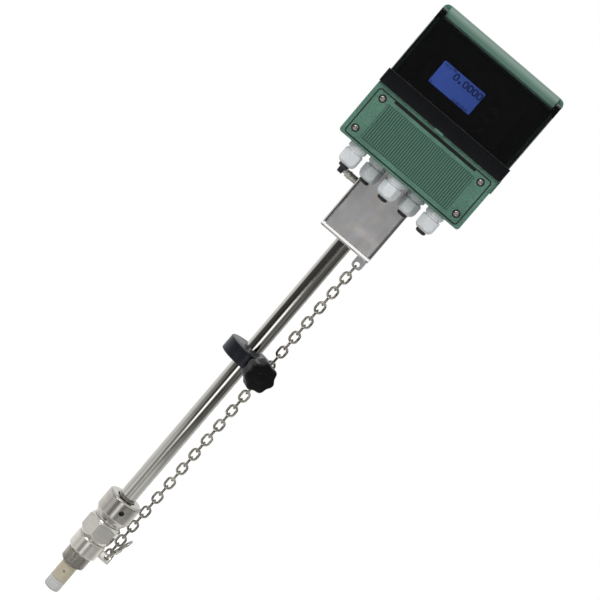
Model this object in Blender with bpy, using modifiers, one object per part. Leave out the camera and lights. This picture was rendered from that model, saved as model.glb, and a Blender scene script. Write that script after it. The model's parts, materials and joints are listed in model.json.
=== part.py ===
"""Insertion flow meter: a sensor on a sliding rod, a screwed process fitting and a display head.

The origin is on the rod's axis at the fitting's shoulder, +Z runs up the rod to the head,
and the display faces -Y. Lengths below are in millimetres.
"""
import math

import bmesh
import bpy
from mathutils import Matrix, Vector

MM = 0.001
GAP = 0.3

ROD_R = 11.0
ROD_WALL = 2.5
ROD_FOOT = -12.0
RUN_CLEARANCE = 0.35

SENSOR_R = 10.75
SENSOR_END = -45.4
SPIGOT_LENGTH = 16.0
SOCKET_DEPTH = 8.3
CAP_R = 10.9
CAP_LENGTH = 15.5
ELECTRODE_R = 1.75
ELECTRODE_Z = -31.4
ELECTRODE_DEPTH = 6.0
ELECTRODE_PROUD = 0.5

THREAD_R = 16.6
THREAD_LENGTH = 19.9
SHOULDER_R = 20.0
SHOULDER_HEIGHT = 21.4
GROOVE_R = 17.6
GROOVE_HEIGHT = 1.4
HEX_ACROSS_FLATS = 41.0
HEX_HEIGHT = 27.7
HEX_TURN = -9.5
NUT_SPIGOT_R = 16.0
NUT_SPIGOT_HEIGHT = 22.0
STUFFING_R = 13.8
STUFFING_FLOOR = 22.0
PACKING_HEIGHT = 24.0
NUT_R = 23.5
NUT_HEIGHT = 36.4
NUT_ROOF = 6.0
NUT_MOUTH_PLAY = 1.5
NUT_FOOT_R = 18.9
NUT_FOOT_HEIGHT = 2.5
NUT_CONE_TOP = 10.5
HEX_END_R = 18.9
HEX_TOP_CHAMFER = 4.5
HEX_FOOT_CHAMFER = 7.0
THREAD_FILLET = 0.4
THREAD_LEAD = 2.0
PIN_HOLE_R = 3.3
PIN_HOLE_DEPTH = 4.5
PIN_HOLE_DROP = 13.5
PIN_HOLE_ANGLE = 19.6

COLLAR_R = 31.2
COLLAR_HEIGHT = 19.8
COLLAR_BOTTOM = 307.7
KNOB_ANGLE = 29.0
KNOB_STUD_R = 4.0
KNOB_HUB_R = 9.5
KNOB_HUB_LENGTH = 11.0
KNOB_STAR_R = 17.6
KNOB_LOBE = 2.6
KNOB_LOBES = 7
KNOB_LOBE_STEPS = 6
KNOB_STAR_LENGTH = 18.0
KNOB_ROOT = 3.0

CHAIN_X = 28.6
CHAIN_Y = 25.5
WIRE_R = 1.5
LINK_WIDTH = 12.4
LINK_BEND_STEPS = 5
LINKS_IN_GROUP = 3
CHAIN_GROUPS = 13
WELD_LAP = 0.6
END_LINK_Z = 10.4
QUICK_WIRE_R = 1.8
QUICK_BEND_R = 8.0
QUICK_STRAIGHT = 22.0
QUICK_LEAN = 17.0
QUICK_FOOT = (29.0, 22.2, 6.5)
EYE_PLATE_REACH = 35.5
EYE_PLATE_FRONT = 17.5
EYE_PLATE_THICKNESS = 4.0
EYE_PLATE_BOTTOM = 0.5
EYE_PLATE_TOP = 12.0
EYE_R = 3.4
EYE_RISE = 0.8
EYE_PLATE_INSIDE = 2.0

NECK_HALF_WIDTH = 36.7
NECK_HALF_DEPTH = 33.0
NECK_BEND_R = 5.0
NECK_WALL = 2.0
BASE_BOTTOM = 501.1
BASE_THICKNESS = 4.4
ROD_IN_NECK = 9.0
CHAIN_PLATE_LEFT = 22.0
CHAIN_PLATE_BOTTOM = 480.6
CHAIN_PLATE_THICKNESS = 3.0
CHAIN_HOLE_Z = 486.0
CHAIN_HOLE_R = 3.5
PORT_Z = 564.2
PORT_R = 4.7
PORT_LENGTH = 16.0
PORT_STEM_R = 3.0
PORT_CAP_R = 5.35
PORT_CAP_LENGTH = 7.2
PORT_CAP_STANDOFF = 3.4
PASSAGE_R = 18.0

HEAD_HALF_WIDTH = 89.5
HEAD_BOTTOM = 602.4
HEAD_TOP = 792.6
HEAD_BACK = 36.0
HEAD_UPPER_FRONT = -60.0
HEAD_LOWER_FRONT = -86.0
HEAD_WALL = 4.0
HEAD_TOP_CORNER = 7.0
HEAD_BOTTOM_CORNER = 4.0
SHELF_Z = 675.4
PARTITION_Z = 676.0
TERMINAL_OPENING_HALF = HEAD_HALF_WIDTH - 21.5
TERMINAL_OPENING = (612.0, 663.0)
DISPLAY_OPENING_HALF = HEAD_HALF_WIDTH - 11.5
DISPLAY_OPENING = (686.0, 768.0)

TERMINAL_COVER_HALF = HEAD_HALF_WIDTH - 6.4
TERMINAL_COVER = (606.4, 669.4)
TERMINAL_COVER_THICKNESS = 4.7
COVER_GROOVE = 1.0
RIB_FIELD_HALF = TERMINAL_COVER_HALF - 18.6
RIB_FIELD = (613.0, 661.2)
RIB_PITCH = 3.0
RIB_ROOT = 0.15
RIB_HEIGHT = 1.0
SCREW_TOP = (TERMINAL_COVER_HALF - 9.6, TERMINAL_COVER[1] - 7.7)
SCREW_BOTTOM = (TERMINAL_COVER_HALF - 7.2, TERMINAL_COVER[0] + 10.1)
SCREW_HEAD_R = 4.0
SCREW_HEAD_HEIGHT = 2.0
SCREW_SINK_R = 5.0
SCREW_SINK_DEPTH = 2.2
SCREW_SHANK_R = 2.1
SCREW_SHANK_LENGTH = 5.5
SCREW_HOLE_LENGTH = 14.0
PRY_NOTCH_HALF = TERMINAL_COVER_HALF - 22.6
PRY_NOTCH_HEIGHT = 3.0
PRY_NOTCH_DEPTH = 1.2

HINGE_Y = -72.0
HINGE_Z = 780.0
HINGE_BAR_HALF = HEAD_HALF_WIDTH - 9.0
HINGE_BAR_FRONT = -80.5
HINGE_BAR_BOTTOM = 776.0
HINGE_BAR_ROUND = 6.0
HINGE_PIN_R = 1.5
SMOKED_HALF = HEAD_HALF_WIDTH - 1.5
SMOKED_FRONT = -90.0
SMOKED_BACK = -62.3
SMOKED_BOTTOM = 676.0
SMOKED_TOP = 779.0
SMOKED_FACE = 3.0
SMOKED_WALL = 2.5
EAR_INSIDE = HINGE_BAR_HALF + 0.8
EAR_TOP = 785.3
EAR_LENGTH = 10.0
EAR_CORNER = 4.0
RIDGE_HALF = HEAD_HALF_WIDTH + 1.0
RIDGE_FRONT = -92.5
RIDGE_HEIGHT = 18.0
SEAL_TAB_BOTTOM = 658.6
LATCH_HALF = 6.0
LATCH_DROP = 3.0

BEZEL_HALF = SMOKED_HALF - 27.0
BEZEL = (681.0, 759.0)
BEZEL_FRONT = -76.0
BEZEL_WALL = 2.5
PANEL_HALF = SMOKED_HALF - 5.0
PANEL = (680.0, 773.5)
PANEL_THICKNESS = 2.0
LCD_LEFT = 12.5 - BEZEL_HALF
LCD_RIGHT = BEZEL_HALF - 46.8
LCD = (709.5, 742.2)
LCD_RECESS = 0.8
LCD_FLANGE = 3.5
LCD_DEPTH = 10.0
KEY_X = BEZEL_HALF - 27.6
KEY_TOP_Z = 733.5
KEY_PITCH = 13.4
KEY_COUNT = 3
KEY_R = 4.5
KEY_FLANGE_R = 6.0
KEY_PROUD = 1.5
BOARD_THICKNESS = 1.6
TERMINAL_BLOCK_HALF = TERMINAL_OPENING_HALF - 8.0
TERMINAL_BLOCK = (628.0, 648.0)
TERMINAL_BLOCK_DEPTH = 18.0
TERMINAL_WAYS = 10
WAY_RIM = 4.0
WAY_DEPTH = 8.0

GLAND_COUNT = 5
GLAND_PITCH = 2 * (HEAD_HALF_WIDTH - 31.1) / (GLAND_COUNT - 1)
GLAND_FRONT_ROW = -68.5
GLAND_BACK_ROW = -48.5
GLAND_ACROSS_FLATS = 22.0
GLAND_FLANGE_HEIGHT = 8.4
GLAND_NUT_HEIGHT = 18.0
GLAND_THREAD_R = 8.0
GLAND_THREAD_LENGTH = 9.0
GLAND_MOUTH_R = 7.0
GLAND_PLUG_PROUD = 4.2

ROUND_STEPS = 28
BORE_STEPS = 20
SMALL_STEPS = 12
CHAIN_LINKS = LINKS_IN_GROUP * CHAIN_GROUPS
CHAIN_WELDS = CHAIN_LINKS - CHAIN_GROUPS
CHAIN_SPAN = CHAIN_HOLE_Z - CHAIN_HOLE_R + GAP - END_LINK_Z
LINK_INNER_LENGTH = (CHAIN_SPAN - CHAIN_WELDS * WELD_LAP + CHAIN_GROUPS * GAP) / (CHAIN_LINKS + 0.5)
TOP_LINK_Z = CHAIN_HOLE_Z - CHAIN_HOLE_R + GAP - LINK_INNER_LENGTH / 2
LINK_PITCH_WELDED = LINK_INNER_LENGTH + WELD_LAP

GREEN = (0.075, 0.175, 0.125)
BLACK = (0.012, 0.012, 0.014)
STEEL = (0.55, 0.54, 0.51)
NYLON = (0.62, 0.65, 0.67)


def clear_scene():
    """Empty the scene and return the collections for the parts and for the cutters."""
    for old in list(bpy.data.objects):
        bpy.data.objects.remove(old, do_unlink=True)
    made = []
    for name in ("insertion_flow_meter", "cutters"):
        collection = bpy.data.collections.new(name)
        bpy.context.scene.collection.children.link(collection)
        made.append(collection)
    return made


PARTS, CUTTERS = clear_scene()


def finish_of(name, colour, roughness, metallic=0.0):
    """Make a plain Principled material for one part."""
    material = bpy.data.materials.new(name)
    material.use_nodes = True
    shader = material.node_tree.nodes["Principled BSDF"]
    shader.inputs["Base Color"].default_value = (*colour, 1.0)
    shader.inputs["Roughness"].default_value = roughness
    shader.inputs["Metallic"].default_value = metallic
    return material


def add(name, mesh, collection=PARTS, place=(0.0, 0.0, 0.0), turn=(0.0, 0.0, 0.0)):
    """Make an object of a mesh; place is in mm and turn in degrees."""
    obj = bpy.data.objects.new(name, mesh)
    collection.objects.link(obj)
    obj.location = Vector(place) * MM
    obj.rotation_euler = [math.radians(angle) for angle in turn]
    if collection is CUTTERS:
        obj.hide_render = True
        obj.display_type = "WIRE"
    return obj


def as_mesh(bm, name):
    """Turn a bmesh in millimetres into a mesh in metres."""
    bmesh.ops.scale(bm, vec=(MM, MM, MM), verts=bm.verts)
    bmesh.ops.recalc_face_normals(bm, faces=bm.faces)
    mesh = bpy.data.meshes.new(name)
    bm.to_mesh(mesh)
    bm.free()
    return mesh


def edges_along(bm, axis, where):
    """Edges parallel to an axis whose middle passes a test."""
    picked = []
    for edge in bm.edges:
        run = edge.verts[1].co - edge.verts[0].co
        middle = (edge.verts[0].co + edge.verts[1].co) / 2
        if abs(run[axis]) > 0.99 * run.length and where(middle):
            picked.append(edge)
    return picked


def slab(low, high, rounds=()):
    """A box from corner to corner; rounds lists (axis, test, radius, segments) for its edges."""
    bm = bmesh.new()
    bmesh.ops.create_cube(bm, size=1.0)
    low, high = Vector(low), Vector(high)
    size = high - low
    bmesh.ops.scale(bm, vec=size, verts=bm.verts)
    bmesh.ops.translate(bm, vec=(low + high) / 2, verts=bm.verts)
    for axis, where, radius, segments in rounds:
        bmesh.ops.bevel(
            bm, geom=edges_along(bm, axis, where), offset=radius, offset_type="OFFSET",
            segments=segments, profile=0.5, affect="EDGES",
        )
    return bm


def block(name, low, high, rounds=(), collection=PARTS):
    """A solid box object with some rounded edges."""
    return add(name, as_mesh(slab(low, high, rounds), name), collection)


def turned(name, profile, steps=ROUND_STEPS, collection=PARTS, place=(0, 0, 0), turn=(0, 0, 0)):
    """A turned solid: (radius, height) points run down the outer side and close on themselves."""
    bm = bmesh.new()
    verts = [bm.verts.new((radius, 0.0, height)) for radius, height in profile]
    ring = verts if min(radius for radius, _ in profile) <= 0.0 else verts + verts[:1]
    for start, end in zip(ring, ring[1:]):
        bm.edges.new((start, end))
    bmesh.ops.scale(bm, vec=(MM, MM, MM), verts=bm.verts)
    mesh = bpy.data.meshes.new(name)
    bm.to_mesh(mesh)
    bm.free()
    obj = add(name, mesh, collection, place, turn)
    screw = obj.modifiers.new("turned", "SCREW")
    screw.axis = "Z"
    screw.steps = steps
    screw.render_steps = steps
    screw.use_merge_vertices = True
    screw.merge_threshold = 0.00001
    screw.use_smooth_shade = False
    return obj


def rod(radius, bottom, top, chamfer=0.0):
    """Profile of a solid round bar, from the axis at the top round to the axis at the bottom."""
    if chamfer <= 0.0:
        return [(0, top), (radius, top), (radius, bottom), (0, bottom)]
    return [
        (0, top), (radius - chamfer, top), (radius, top - chamfer),
        (radius, bottom + chamfer), (radius - chamfer, bottom), (0, bottom),
    ]


def sleeve(outer, inner, bottom, top, chamfer=0.0):
    """Profile of a tube with both outer ends chamfered."""
    if chamfer <= 0.0:
        return [(outer, top), (outer, bottom), (inner, bottom), (inner, top)]
    return [
        (outer - chamfer, top), (outer, top - chamfer), (outer, bottom + chamfer),
        (outer - chamfer, bottom), (inner, bottom), (inner, top),
    ]


def prism(name, across_flats, bottom, top, turn, collection=PARTS, place=(0, 0, 0)):
    """A hexagonal bar."""
    bm = bmesh.new()
    corner = across_flats / 2 / math.cos(math.radians(30))
    bmesh.ops.create_cone(
        bm, cap_ends=True, segments=6, radius1=corner, radius2=corner, depth=top - bottom)
    bmesh.ops.translate(bm, vec=(0, 0, (top + bottom) / 2), verts=bm.verts)
    bmesh.ops.rotate(bm, matrix=Matrix.Rotation(math.radians(turn), 3, "Z"), verts=bm.verts)
    return add(name, as_mesh(bm, name), collection, place)


def from_curve(name, curve, matrix, collection):
    """Make a closed mesh object of a curve, with its caps welded."""
    drawn = bpy.data.objects.new(name + "_curve", curve)
    CUTTERS.objects.link(drawn)
    drawn.matrix_world = matrix
    bpy.context.view_layer.update()
    shape = drawn.evaluated_get(bpy.context.evaluated_depsgraph_get())
    mesh = bpy.data.meshes.new_from_object(shape)
    bm = bmesh.new()
    bm.from_mesh(mesh)
    bmesh.ops.remove_doubles(bm, verts=bm.verts, dist=0.000002)
    bmesh.ops.recalc_face_normals(bm, faces=bm.faces)
    bm.to_mesh(mesh)
    bm.free()
    mesh.name = name
    obj = add(name, mesh, collection)
    obj.matrix_world = matrix
    bpy.data.objects.remove(drawn, do_unlink=True)
    return obj


def outline(name, points, thickness, matrix, collection=PARTS, rounding=0.0):
    """A flat plate of a closed outline in its own XY plane, centred in its thickness."""
    curve = bpy.data.curves.new(name, "CURVE")
    curve.dimensions = "2D"
    curve.fill_mode = "BOTH"
    curve.extrude = (thickness / 2 - rounding) * MM
    curve.bevel_depth = rounding * MM
    curve.bevel_resolution = 0
    spline = curve.splines.new("POLY")
    spline.points.add(len(points) - 1)
    for target, (x, y) in zip(spline.points, points):
        target.co = (x * MM, y * MM, 0.0, 1.0)
    spline.use_cyclic_u = True
    return from_curve(name, curve, matrix, collection)


def wire_loop(name, points, radius, collection):
    """A closed wire through a ring of points in mm."""
    curve = bpy.data.curves.new(name, "CURVE")
    curve.dimensions = "3D"
    curve.bevel_depth = radius * MM
    curve.bevel_resolution = 1
    spline = curve.splines.new("POLY")
    spline.points.add(len(points) - 1)
    for target, point in zip(spline.points, points):
        target.co = (*(Vector(point) * MM), 1.0)
    spline.use_cyclic_u = True
    return from_curve(name, curve, Matrix.Identity(4), collection)


def combine(target, tool, operation="DIFFERENCE"):
    """Cut, join or intersect a part with a tool."""
    change = target.modifiers.new(tool.name, "BOOLEAN")
    change.operation = operation
    change.object = tool
    change.solver = "EXACT"


def cut_block(target, name, low, high, rounds=()):
    """Cut a box out of a part."""
    combine(target, block(name, low, high, rounds, CUTTERS))


def join_block(target, name, low, high, rounds=()):
    """Join a box to a part."""
    combine(target, block(name, low, high, rounds, CUTTERS), "UNION")


def cut_round(target, name, radius, length, place, turn=(0, 0, 0), steps=SMALL_STEPS):
    """Cut a round hole of a length whose middle is at a place."""
    profile = rod(radius, -length / 2, length / 2)
    combine(target, turned(name, profile, steps, CUTTERS, place, turn))


def set_origin(obj, point):
    """Move an object's origin to a point in mm and leave its shape where it is."""
    shift = Vector(point) * MM
    obj.data.transform(Matrix.Translation(-shift))
    obj.location = obj.location + shift


def carry(parent, *children):
    """Parent parts to what carries them, without moving them."""
    bpy.context.view_layer.update()
    for child in children:
        child.parent = parent
        child.matrix_parent_inverse = parent.matrix_world.inverted()


def guide(name, place):
    """An empty on a joint's axis."""
    empty = bpy.data.objects.new(name, None)
    PARTS.objects.link(empty)
    empty.location = Vector(place) * MM
    return empty


def finish(obj, colour, roughness, metallic=0.0):
    """Give a part its own plain material and return the part."""
    obj.data.materials.append(finish_of(obj.name, colour, roughness, metallic))
    return obj


def make_rod():
    """The insertion rod is a tube from inside the fitting up into the neck box."""
    top = BASE_BOTTOM + BASE_THICKNESS + ROD_IN_NECK
    profile = sleeve(ROD_R, ROD_R - ROD_WALL, ROD_FOOT, top, 0.6)
    return finish(turned("insertion_rod", profile, ROUND_STEPS), STEEL, 0.15, 1.0)


def make_sensor():
    """The sensor body plugs into the rod, and the cap plugs into the sensor body."""
    plug_r = ROD_R - ROD_WALL - GAP
    top = ROD_FOOT - GAP
    socket_r = SENSOR_R / 2
    body = turned("sensor_body", [
        (0, top + SPIGOT_LENGTH), (plug_r - 0.5, top + SPIGOT_LENGTH), (plug_r, top + SPIGOT_LENGTH - 0.5),
        (plug_r, top), (SENSOR_R - 0.3, top), (SENSOR_R, top - 0.3),
        (SENSOR_R, SENSOR_END), (socket_r, SENSOR_END), (socket_r, SENSOR_END + SOCKET_DEPTH),
        (0, SENSOR_END + SOCKET_DEPTH),
    ], BORE_STEPS)
    for side, name in ((-1, "front"), (1, "back")):
        depth = ELECTRODE_DEPTH + GAP
        place = (0, side * (SENSOR_R + 1 - (depth + 1) / 2), ELECTRODE_Z)
        cut_round(body, "electrode_hole_" + name, ELECTRODE_R + GAP, depth + 1, place, (90, 0, 0))
        inner = SENSOR_R - ELECTRODE_DEPTH
        electrode = turned(
            "electrode_" + name, rod(ELECTRODE_R, inner, SENSOR_R + ELECTRODE_PROUD, 0.3),
            SMALL_STEPS, place=(0, 0, ELECTRODE_Z), turn=(-90 * side, 0, 0))
        finish(electrode, STEEL, 0.3, 1.0)
    finish(body, (0.50, 0.45, 0.34), 0.5)
    face = SENSOR_END - GAP
    tip = face - CAP_LENGTH
    cap = turned("sensor_cap", [
        (0, face + SOCKET_DEPTH - GAP), (socket_r - GAP, face + SOCKET_DEPTH - GAP), (socket_r - GAP, face),
        (CAP_R, face), (CAP_R, tip + 3), (CAP_R - 0.9, tip + 0.9), (CAP_R - 3, tip), (0, tip),
    ], BORE_STEPS)
    finish(cap, (0.65, 0.65, 0.64), 0.4)
    return [body, cap, bpy.data.objects["electrode_front"], bpy.data.objects["electrode_back"]]


def make_fitting():
    """The fitting body is turned from hexagon bar; the eye plate for the chain is welded on."""
    hex_bottom = SHOULDER_HEIGHT + GROOVE_HEIGHT
    hex_top = hex_bottom + HEX_HEIGHT
    corner = HEX_ACROSS_FLATS / 2 / math.cos(math.radians(30))
    body = prism("fitting_body", HEX_ACROSS_FLATS, -THREAD_LENGTH, hex_top + NUT_SPIGOT_HEIGHT, HEX_TURN)
    spigot_top = hex_top + NUT_SPIGOT_HEIGHT
    turn_down = turned("fitting_turning", [
        (NUT_SPIGOT_R - 1, spigot_top), (NUT_SPIGOT_R, spigot_top - 1), (NUT_SPIGOT_R, hex_top),
        (HEX_END_R, hex_top), (corner, hex_top - HEX_TOP_CHAMFER),
        (corner, hex_bottom + HEX_FOOT_CHAMFER), (HEX_END_R, hex_bottom),
        (GROOVE_R, hex_bottom), (GROOVE_R, SHOULDER_HEIGHT),
        (SHOULDER_R - 1.2, SHOULDER_HEIGHT), (SHOULDER_R, SHOULDER_HEIGHT - 1.2),
        (SHOULDER_R, 1.0), (SHOULDER_R - 1.0, 0.0), (THREAD_R + THREAD_FILLET, 0.0),
        (THREAD_R, -THREAD_FILLET), (THREAD_R, THREAD_LEAD - THREAD_LENGTH), (THREAD_R - THREAD_LEAD, -THREAD_LENGTH),
        (ROD_R + RUN_CLEARANCE, -THREAD_LENGTH), (ROD_R + RUN_CLEARANCE, STUFFING_FLOOR),
        (STUFFING_R, STUFFING_FLOOR), (STUFFING_R, spigot_top),
    ], collection=CUTTERS)
    combine(body, turn_down, "INTERSECT")
    plate = block(
        "eye_plate", (EYE_PLATE_INSIDE, EYE_PLATE_FRONT, EYE_PLATE_BOTTOM),
        (EYE_PLATE_REACH, EYE_PLATE_FRONT + EYE_PLATE_THICKNESS, EYE_PLATE_TOP),
        [(1, lambda m: m.x > ROD_R, 3.5, 3)], CUTTERS)
    combine(body, plate, "UNION")
    hole_y = EYE_PLATE_FRONT + EYE_PLATE_THICKNESS / 2
    cut_round(body, "eye", EYE_R, EYE_PLATE_THICKNESS + 2,
              (QUICK_FOOT[0], hole_y, QUICK_FOOT[2] + EYE_RISE), (90, 0, 0))
    finish(body, STEEL, 0.35, 1.0)
    packing_top = STUFFING_FLOOR + GAP + PACKING_HEIGHT
    packing = turned("packing_ring", sleeve(
        STUFFING_R - GAP, ROD_R + RUN_CLEARANCE, STUFFING_FLOOR + GAP, packing_top), BORE_STEPS)
    finish(packing, BLACK, 0.8)
    roof = hex_top + GAP + NUT_HEIGHT - NUT_ROOF
    follower = turned("packing_follower", sleeve(
        STUFFING_R - GAP, ROD_R + RUN_CLEARANCE, packing_top + GAP, roof - GAP), BORE_STEPS)
    finish(follower, STEEL, 0.4, 1.0)
    bottom = hex_top + GAP
    top = bottom + NUT_HEIGHT
    nut = turned("packing_nut", [
        (NUT_R - 2.0, top), (NUT_R, top - 2.0), (NUT_R, bottom + NUT_CONE_TOP),
        (NUT_FOOT_R, bottom + NUT_FOOT_HEIGHT), (NUT_FOOT_R, bottom),
        (NUT_SPIGOT_R + GAP, bottom), (NUT_SPIGOT_R + GAP, roof), (ROD_R + NUT_MOUTH_PLAY, roof),
        (ROD_R + NUT_MOUTH_PLAY, top - 1.0), (ROD_R + NUT_MOUTH_PLAY + 1.0, top),
    ])
    angle = math.radians(PIN_HOLE_ANGLE)
    reach = NUT_R + 1 - (PIN_HOLE_DEPTH + 1) / 2
    place = (math.sin(angle) * reach, -math.cos(angle) * reach, top - PIN_HOLE_DROP)
    cut_round(nut, "pin_hole", PIN_HOLE_R, PIN_HOLE_DEPTH + 1, place, (90, 0, PIN_HOLE_ANGLE))
    finish(nut, STEEL, 0.3, 1.0)
    return body, nut


def link_points(centre, flat_in_x, lean=0.0):
    """Ring of points round one oval link; it lies in the XZ or the YZ plane."""
    bend = LINK_WIDTH / 2 - WIRE_R
    straight = LINK_INNER_LENGTH / 2 + WIRE_R - bend
    crown = bend / math.cos(math.pi / 2 / LINK_BEND_STEPS)
    points = []
    for side in (1, -1):
        for step in range(LINK_BEND_STEPS + 1):
            angle = math.pi * step / LINK_BEND_STEPS
            across = side * bend * math.cos(angle)
            up = side * (straight + crown * math.sin(angle))
            points.append((across, up))
    turn = math.radians(lean)
    ring = []
    for across, up in points:
        x = across * math.cos(turn) + up * math.sin(turn)
        z = up * math.cos(turn) - across * math.sin(turn)
        ring.append(centre + (Vector((x, 0, z)) if flat_in_x else Vector((0, across, up))))
    return ring


def make_chain():
    """Thirteen groups of three links hang from the neck's chain plate to the end link.

    The links of a group are joined where their crowns touch; between groups there is a gap, so
    that each group can rise towards the next as the rod goes down.
    """
    groups = []
    height = TOP_LINK_Z
    for group in range(CHAIN_GROUPS):
        carrier = None
        for link in range(LINKS_IN_GROUP):
            index = group * LINKS_IN_GROUP + link
            centre = Vector((CHAIN_X, CHAIN_Y, height))
            points = link_points(centre, index % 2 == 1)
            if carrier is None:
                carrier = wire_loop(f"chain_group_{group + 1:02d}", points, WIRE_R, PARTS)
            else:
                loop = wire_loop(f"link_{index + 1:02d}", points, WIRE_R, CUTTERS)
                loop.hide_render = True
                combine(carrier, loop, "UNION")
            height -= LINK_PITCH_WELDED
        height += LINK_PITCH_WELDED - (LINK_INNER_LENGTH - GAP)
        set_origin(carrier, (CHAIN_X, CHAIN_Y, TOP_LINK_Z))
        finish(carrier, (0.42, 0.40, 0.35), 0.3, 1.0)
        groups.append(carrier)
    points = link_points(Vector((CHAIN_X, CHAIN_Y, height)), CHAIN_LINKS % 2 == 1)
    end = wire_loop("end_link", points, WIRE_R, PARTS)
    finish(end, (0.42, 0.40, 0.35), 0.3, 1.0)
    return groups


def make_quick_link():
    """A long oval link stands in the eye, leaning away from the chain."""
    points = []
    for side in (1, -1):
        for step in range(7):
            angle = math.radians(30 * step)
            across = side * QUICK_BEND_R * math.cos(angle)
            up = side * (QUICK_STRAIGHT / 2 + QUICK_BEND_R * math.sin(angle))
            points.append((across, up))
    lean = math.radians(QUICK_LEAN)
    half = QUICK_STRAIGHT / 2 + QUICK_BEND_R
    ring = []
    for across, up in points:
        ring.append(Vector((
            QUICK_FOOT[0] + (up + half) * math.sin(lean), QUICK_FOOT[1] + across,
            QUICK_FOOT[2] + (up + half) * math.cos(lean))))
    return finish(wire_loop("quick_link", ring, QUICK_WIRE_R, PARTS), STEEL, 0.2, 1.0)


def make_collar():
    """The depth-stop collar is clamped on the rod by the star knob's stud."""
    middle = COLLAR_BOTTOM + COLLAR_HEIGHT / 2
    collar = turned("collar_ring", sleeve(
        COLLAR_R, ROD_R + RUN_CLEARANCE, -COLLAR_HEIGHT / 2, COLLAR_HEIGHT / 2, 1.0), place=(0, 0, middle))
    angle = math.radians(KNOB_ANGLE)
    out = Vector((math.sin(angle), -math.cos(angle), 0))
    cut_round(collar, "stud_hole", KNOB_STUD_R + GAP, COLLAR_R,
              out * (COLLAR_R / 2 + ROD_R) + Vector((0, 0, middle)), (90, 0, KNOB_ANGLE))
    finish(collar, BLACK, 0.45)
    hub_start = COLLAR_R + GAP
    star_start = hub_start + KNOB_HUB_LENGTH
    points = []
    for step in range(KNOB_LOBES * KNOB_LOBE_STEPS):
        turn = 2 * math.pi * step / (KNOB_LOBES * KNOB_LOBE_STEPS)
        radius = KNOB_STAR_R + KNOB_LOBE * math.cos(KNOB_LOBES * turn)
        points.append((radius * math.cos(turn), radius * math.sin(turn)))
    upright = Matrix.Translation(Vector((0, 0, middle)) * MM) @ Matrix.Rotation(angle, 4, "Z")
    frame = upright @ Matrix.Rotation(math.radians(90), 4, "X")
    star_middle = Matrix.Translation((0, 0, (star_start + KNOB_STAR_LENGTH / 2) * MM))
    knob = outline("star_knob", points, KNOB_STAR_LENGTH, frame @ star_middle, rounding=2.0)
    stem = turned("knob_stem", [
        (0, star_start + KNOB_ROOT), (KNOB_HUB_R + 2, star_start + KNOB_ROOT), (KNOB_HUB_R + 2, star_start),
        (KNOB_HUB_R, hub_start + 2 * KNOB_ROOT),
        (KNOB_HUB_R, hub_start), (KNOB_STUD_R, hub_start), (KNOB_STUD_R, ROD_R + GAP + 0.8),
        (KNOB_STUD_R - 0.8, ROD_R + GAP), (0, ROD_R + GAP),
    ], 20, CUTTERS)
    stem.matrix_world = frame
    combine(knob, stem, "UNION")
    finish(knob, BLACK, 0.35)
    return collar, knob


def make_neck():
    """A folded box stands on the base plate, which carries the rod and the chain plate."""
    corners = [(2, lambda m: True, NECK_BEND_R, 4)]
    base_top = BASE_BOTTOM + BASE_THICKNESS
    w, d = NECK_HALF_WIDTH, NECK_HALF_DEPTH
    base = block("neck_base", (-w, -d, BASE_BOTTOM), (w, d, base_top), corners)
    join_block(
        base, "chain_plate", (CHAIN_PLATE_LEFT, CHAIN_Y - CHAIN_PLATE_THICKNESS / 2, CHAIN_PLATE_BOTTOM),
        (w - 0.5, CHAIN_Y + CHAIN_PLATE_THICKNESS / 2, BASE_BOTTOM + 1),
        [(1, lambda m: m.z < CHAIN_HOLE_Z, 4.5, 3)])
    cut_round(base, "rod_hole", ROD_R + GAP, 20, (0, 0, BASE_BOTTOM), steps=ROUND_STEPS)
    cut_round(base, "chain_hole", CHAIN_HOLE_R, 8, (CHAIN_X, CHAIN_Y, CHAIN_HOLE_Z), (90, 0, 0))
    finish(base, STEEL, 0.2, 1.0)
    box = block("neck_box", (-w, -d, base_top + GAP), (w, d, HEAD_BOTTOM - GAP), corners)
    t = NECK_WALL
    inner = [(2, lambda m: True, NECK_BEND_R - NECK_WALL, 4)]
    cut_block(box, "neck_hollow", (t - w, t - d, base_top - 5), (w - t, d - t, HEAD_BOTTOM + 5), inner)
    cut_round(box, "port_hole", PORT_STEM_R + 0.5 + GAP, 12, (-w, 0, PORT_Z), (0, 90, 0))
    finish(box, STEEL, 0.35, 1.0)
    inside = w - t - GAP
    face = w + GAP
    end = face + PORT_LENGTH
    stem_end = end + PORT_CAP_STANDOFF + PORT_CAP_LENGTH - 2
    port = turned("side_port", [
        (0, stem_end), (PORT_STEM_R, stem_end), (PORT_STEM_R, end), (PORT_R, end - 0.01), (PORT_R, face),
        (PORT_STEM_R + 0.5, face), (PORT_STEM_R + 0.5, inside - 6), (0, inside - 6),
    ], SMALL_STEPS, place=(0, 0, PORT_Z), turn=(0, -90, 0))
    finish(port, STEEL, 0.3, 1.0)
    cap_start = end + PORT_CAP_STANDOFF
    cap_end = cap_start + PORT_CAP_LENGTH
    cap = turned("port_cap", [
        (0, cap_end), (PORT_CAP_R - 1, cap_end), (PORT_CAP_R, cap_end - 1), (PORT_CAP_R, cap_start),
        (PORT_STEM_R + GAP, cap_start), (PORT_STEM_R + GAP, stem_end + GAP), (0, stem_end + GAP),
    ], SMALL_STEPS, place=(0, 0, PORT_Z), turn=(0, -90, 0))
    finish(cap, BLACK, 0.5)
    return [base, box, port, cap]


def gland_places():
    """Places of the cable glands: the odd ones stand in the front row."""
    for index in range(GLAND_COUNT):
        x = (index - (GLAND_COUNT - 1) / 2) * GLAND_PITCH
        front = index % 2 == 0
        yield index + 1, x, GLAND_FRONT_ROW if front else GLAND_BACK_ROW, 0 if front else 30


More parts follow.
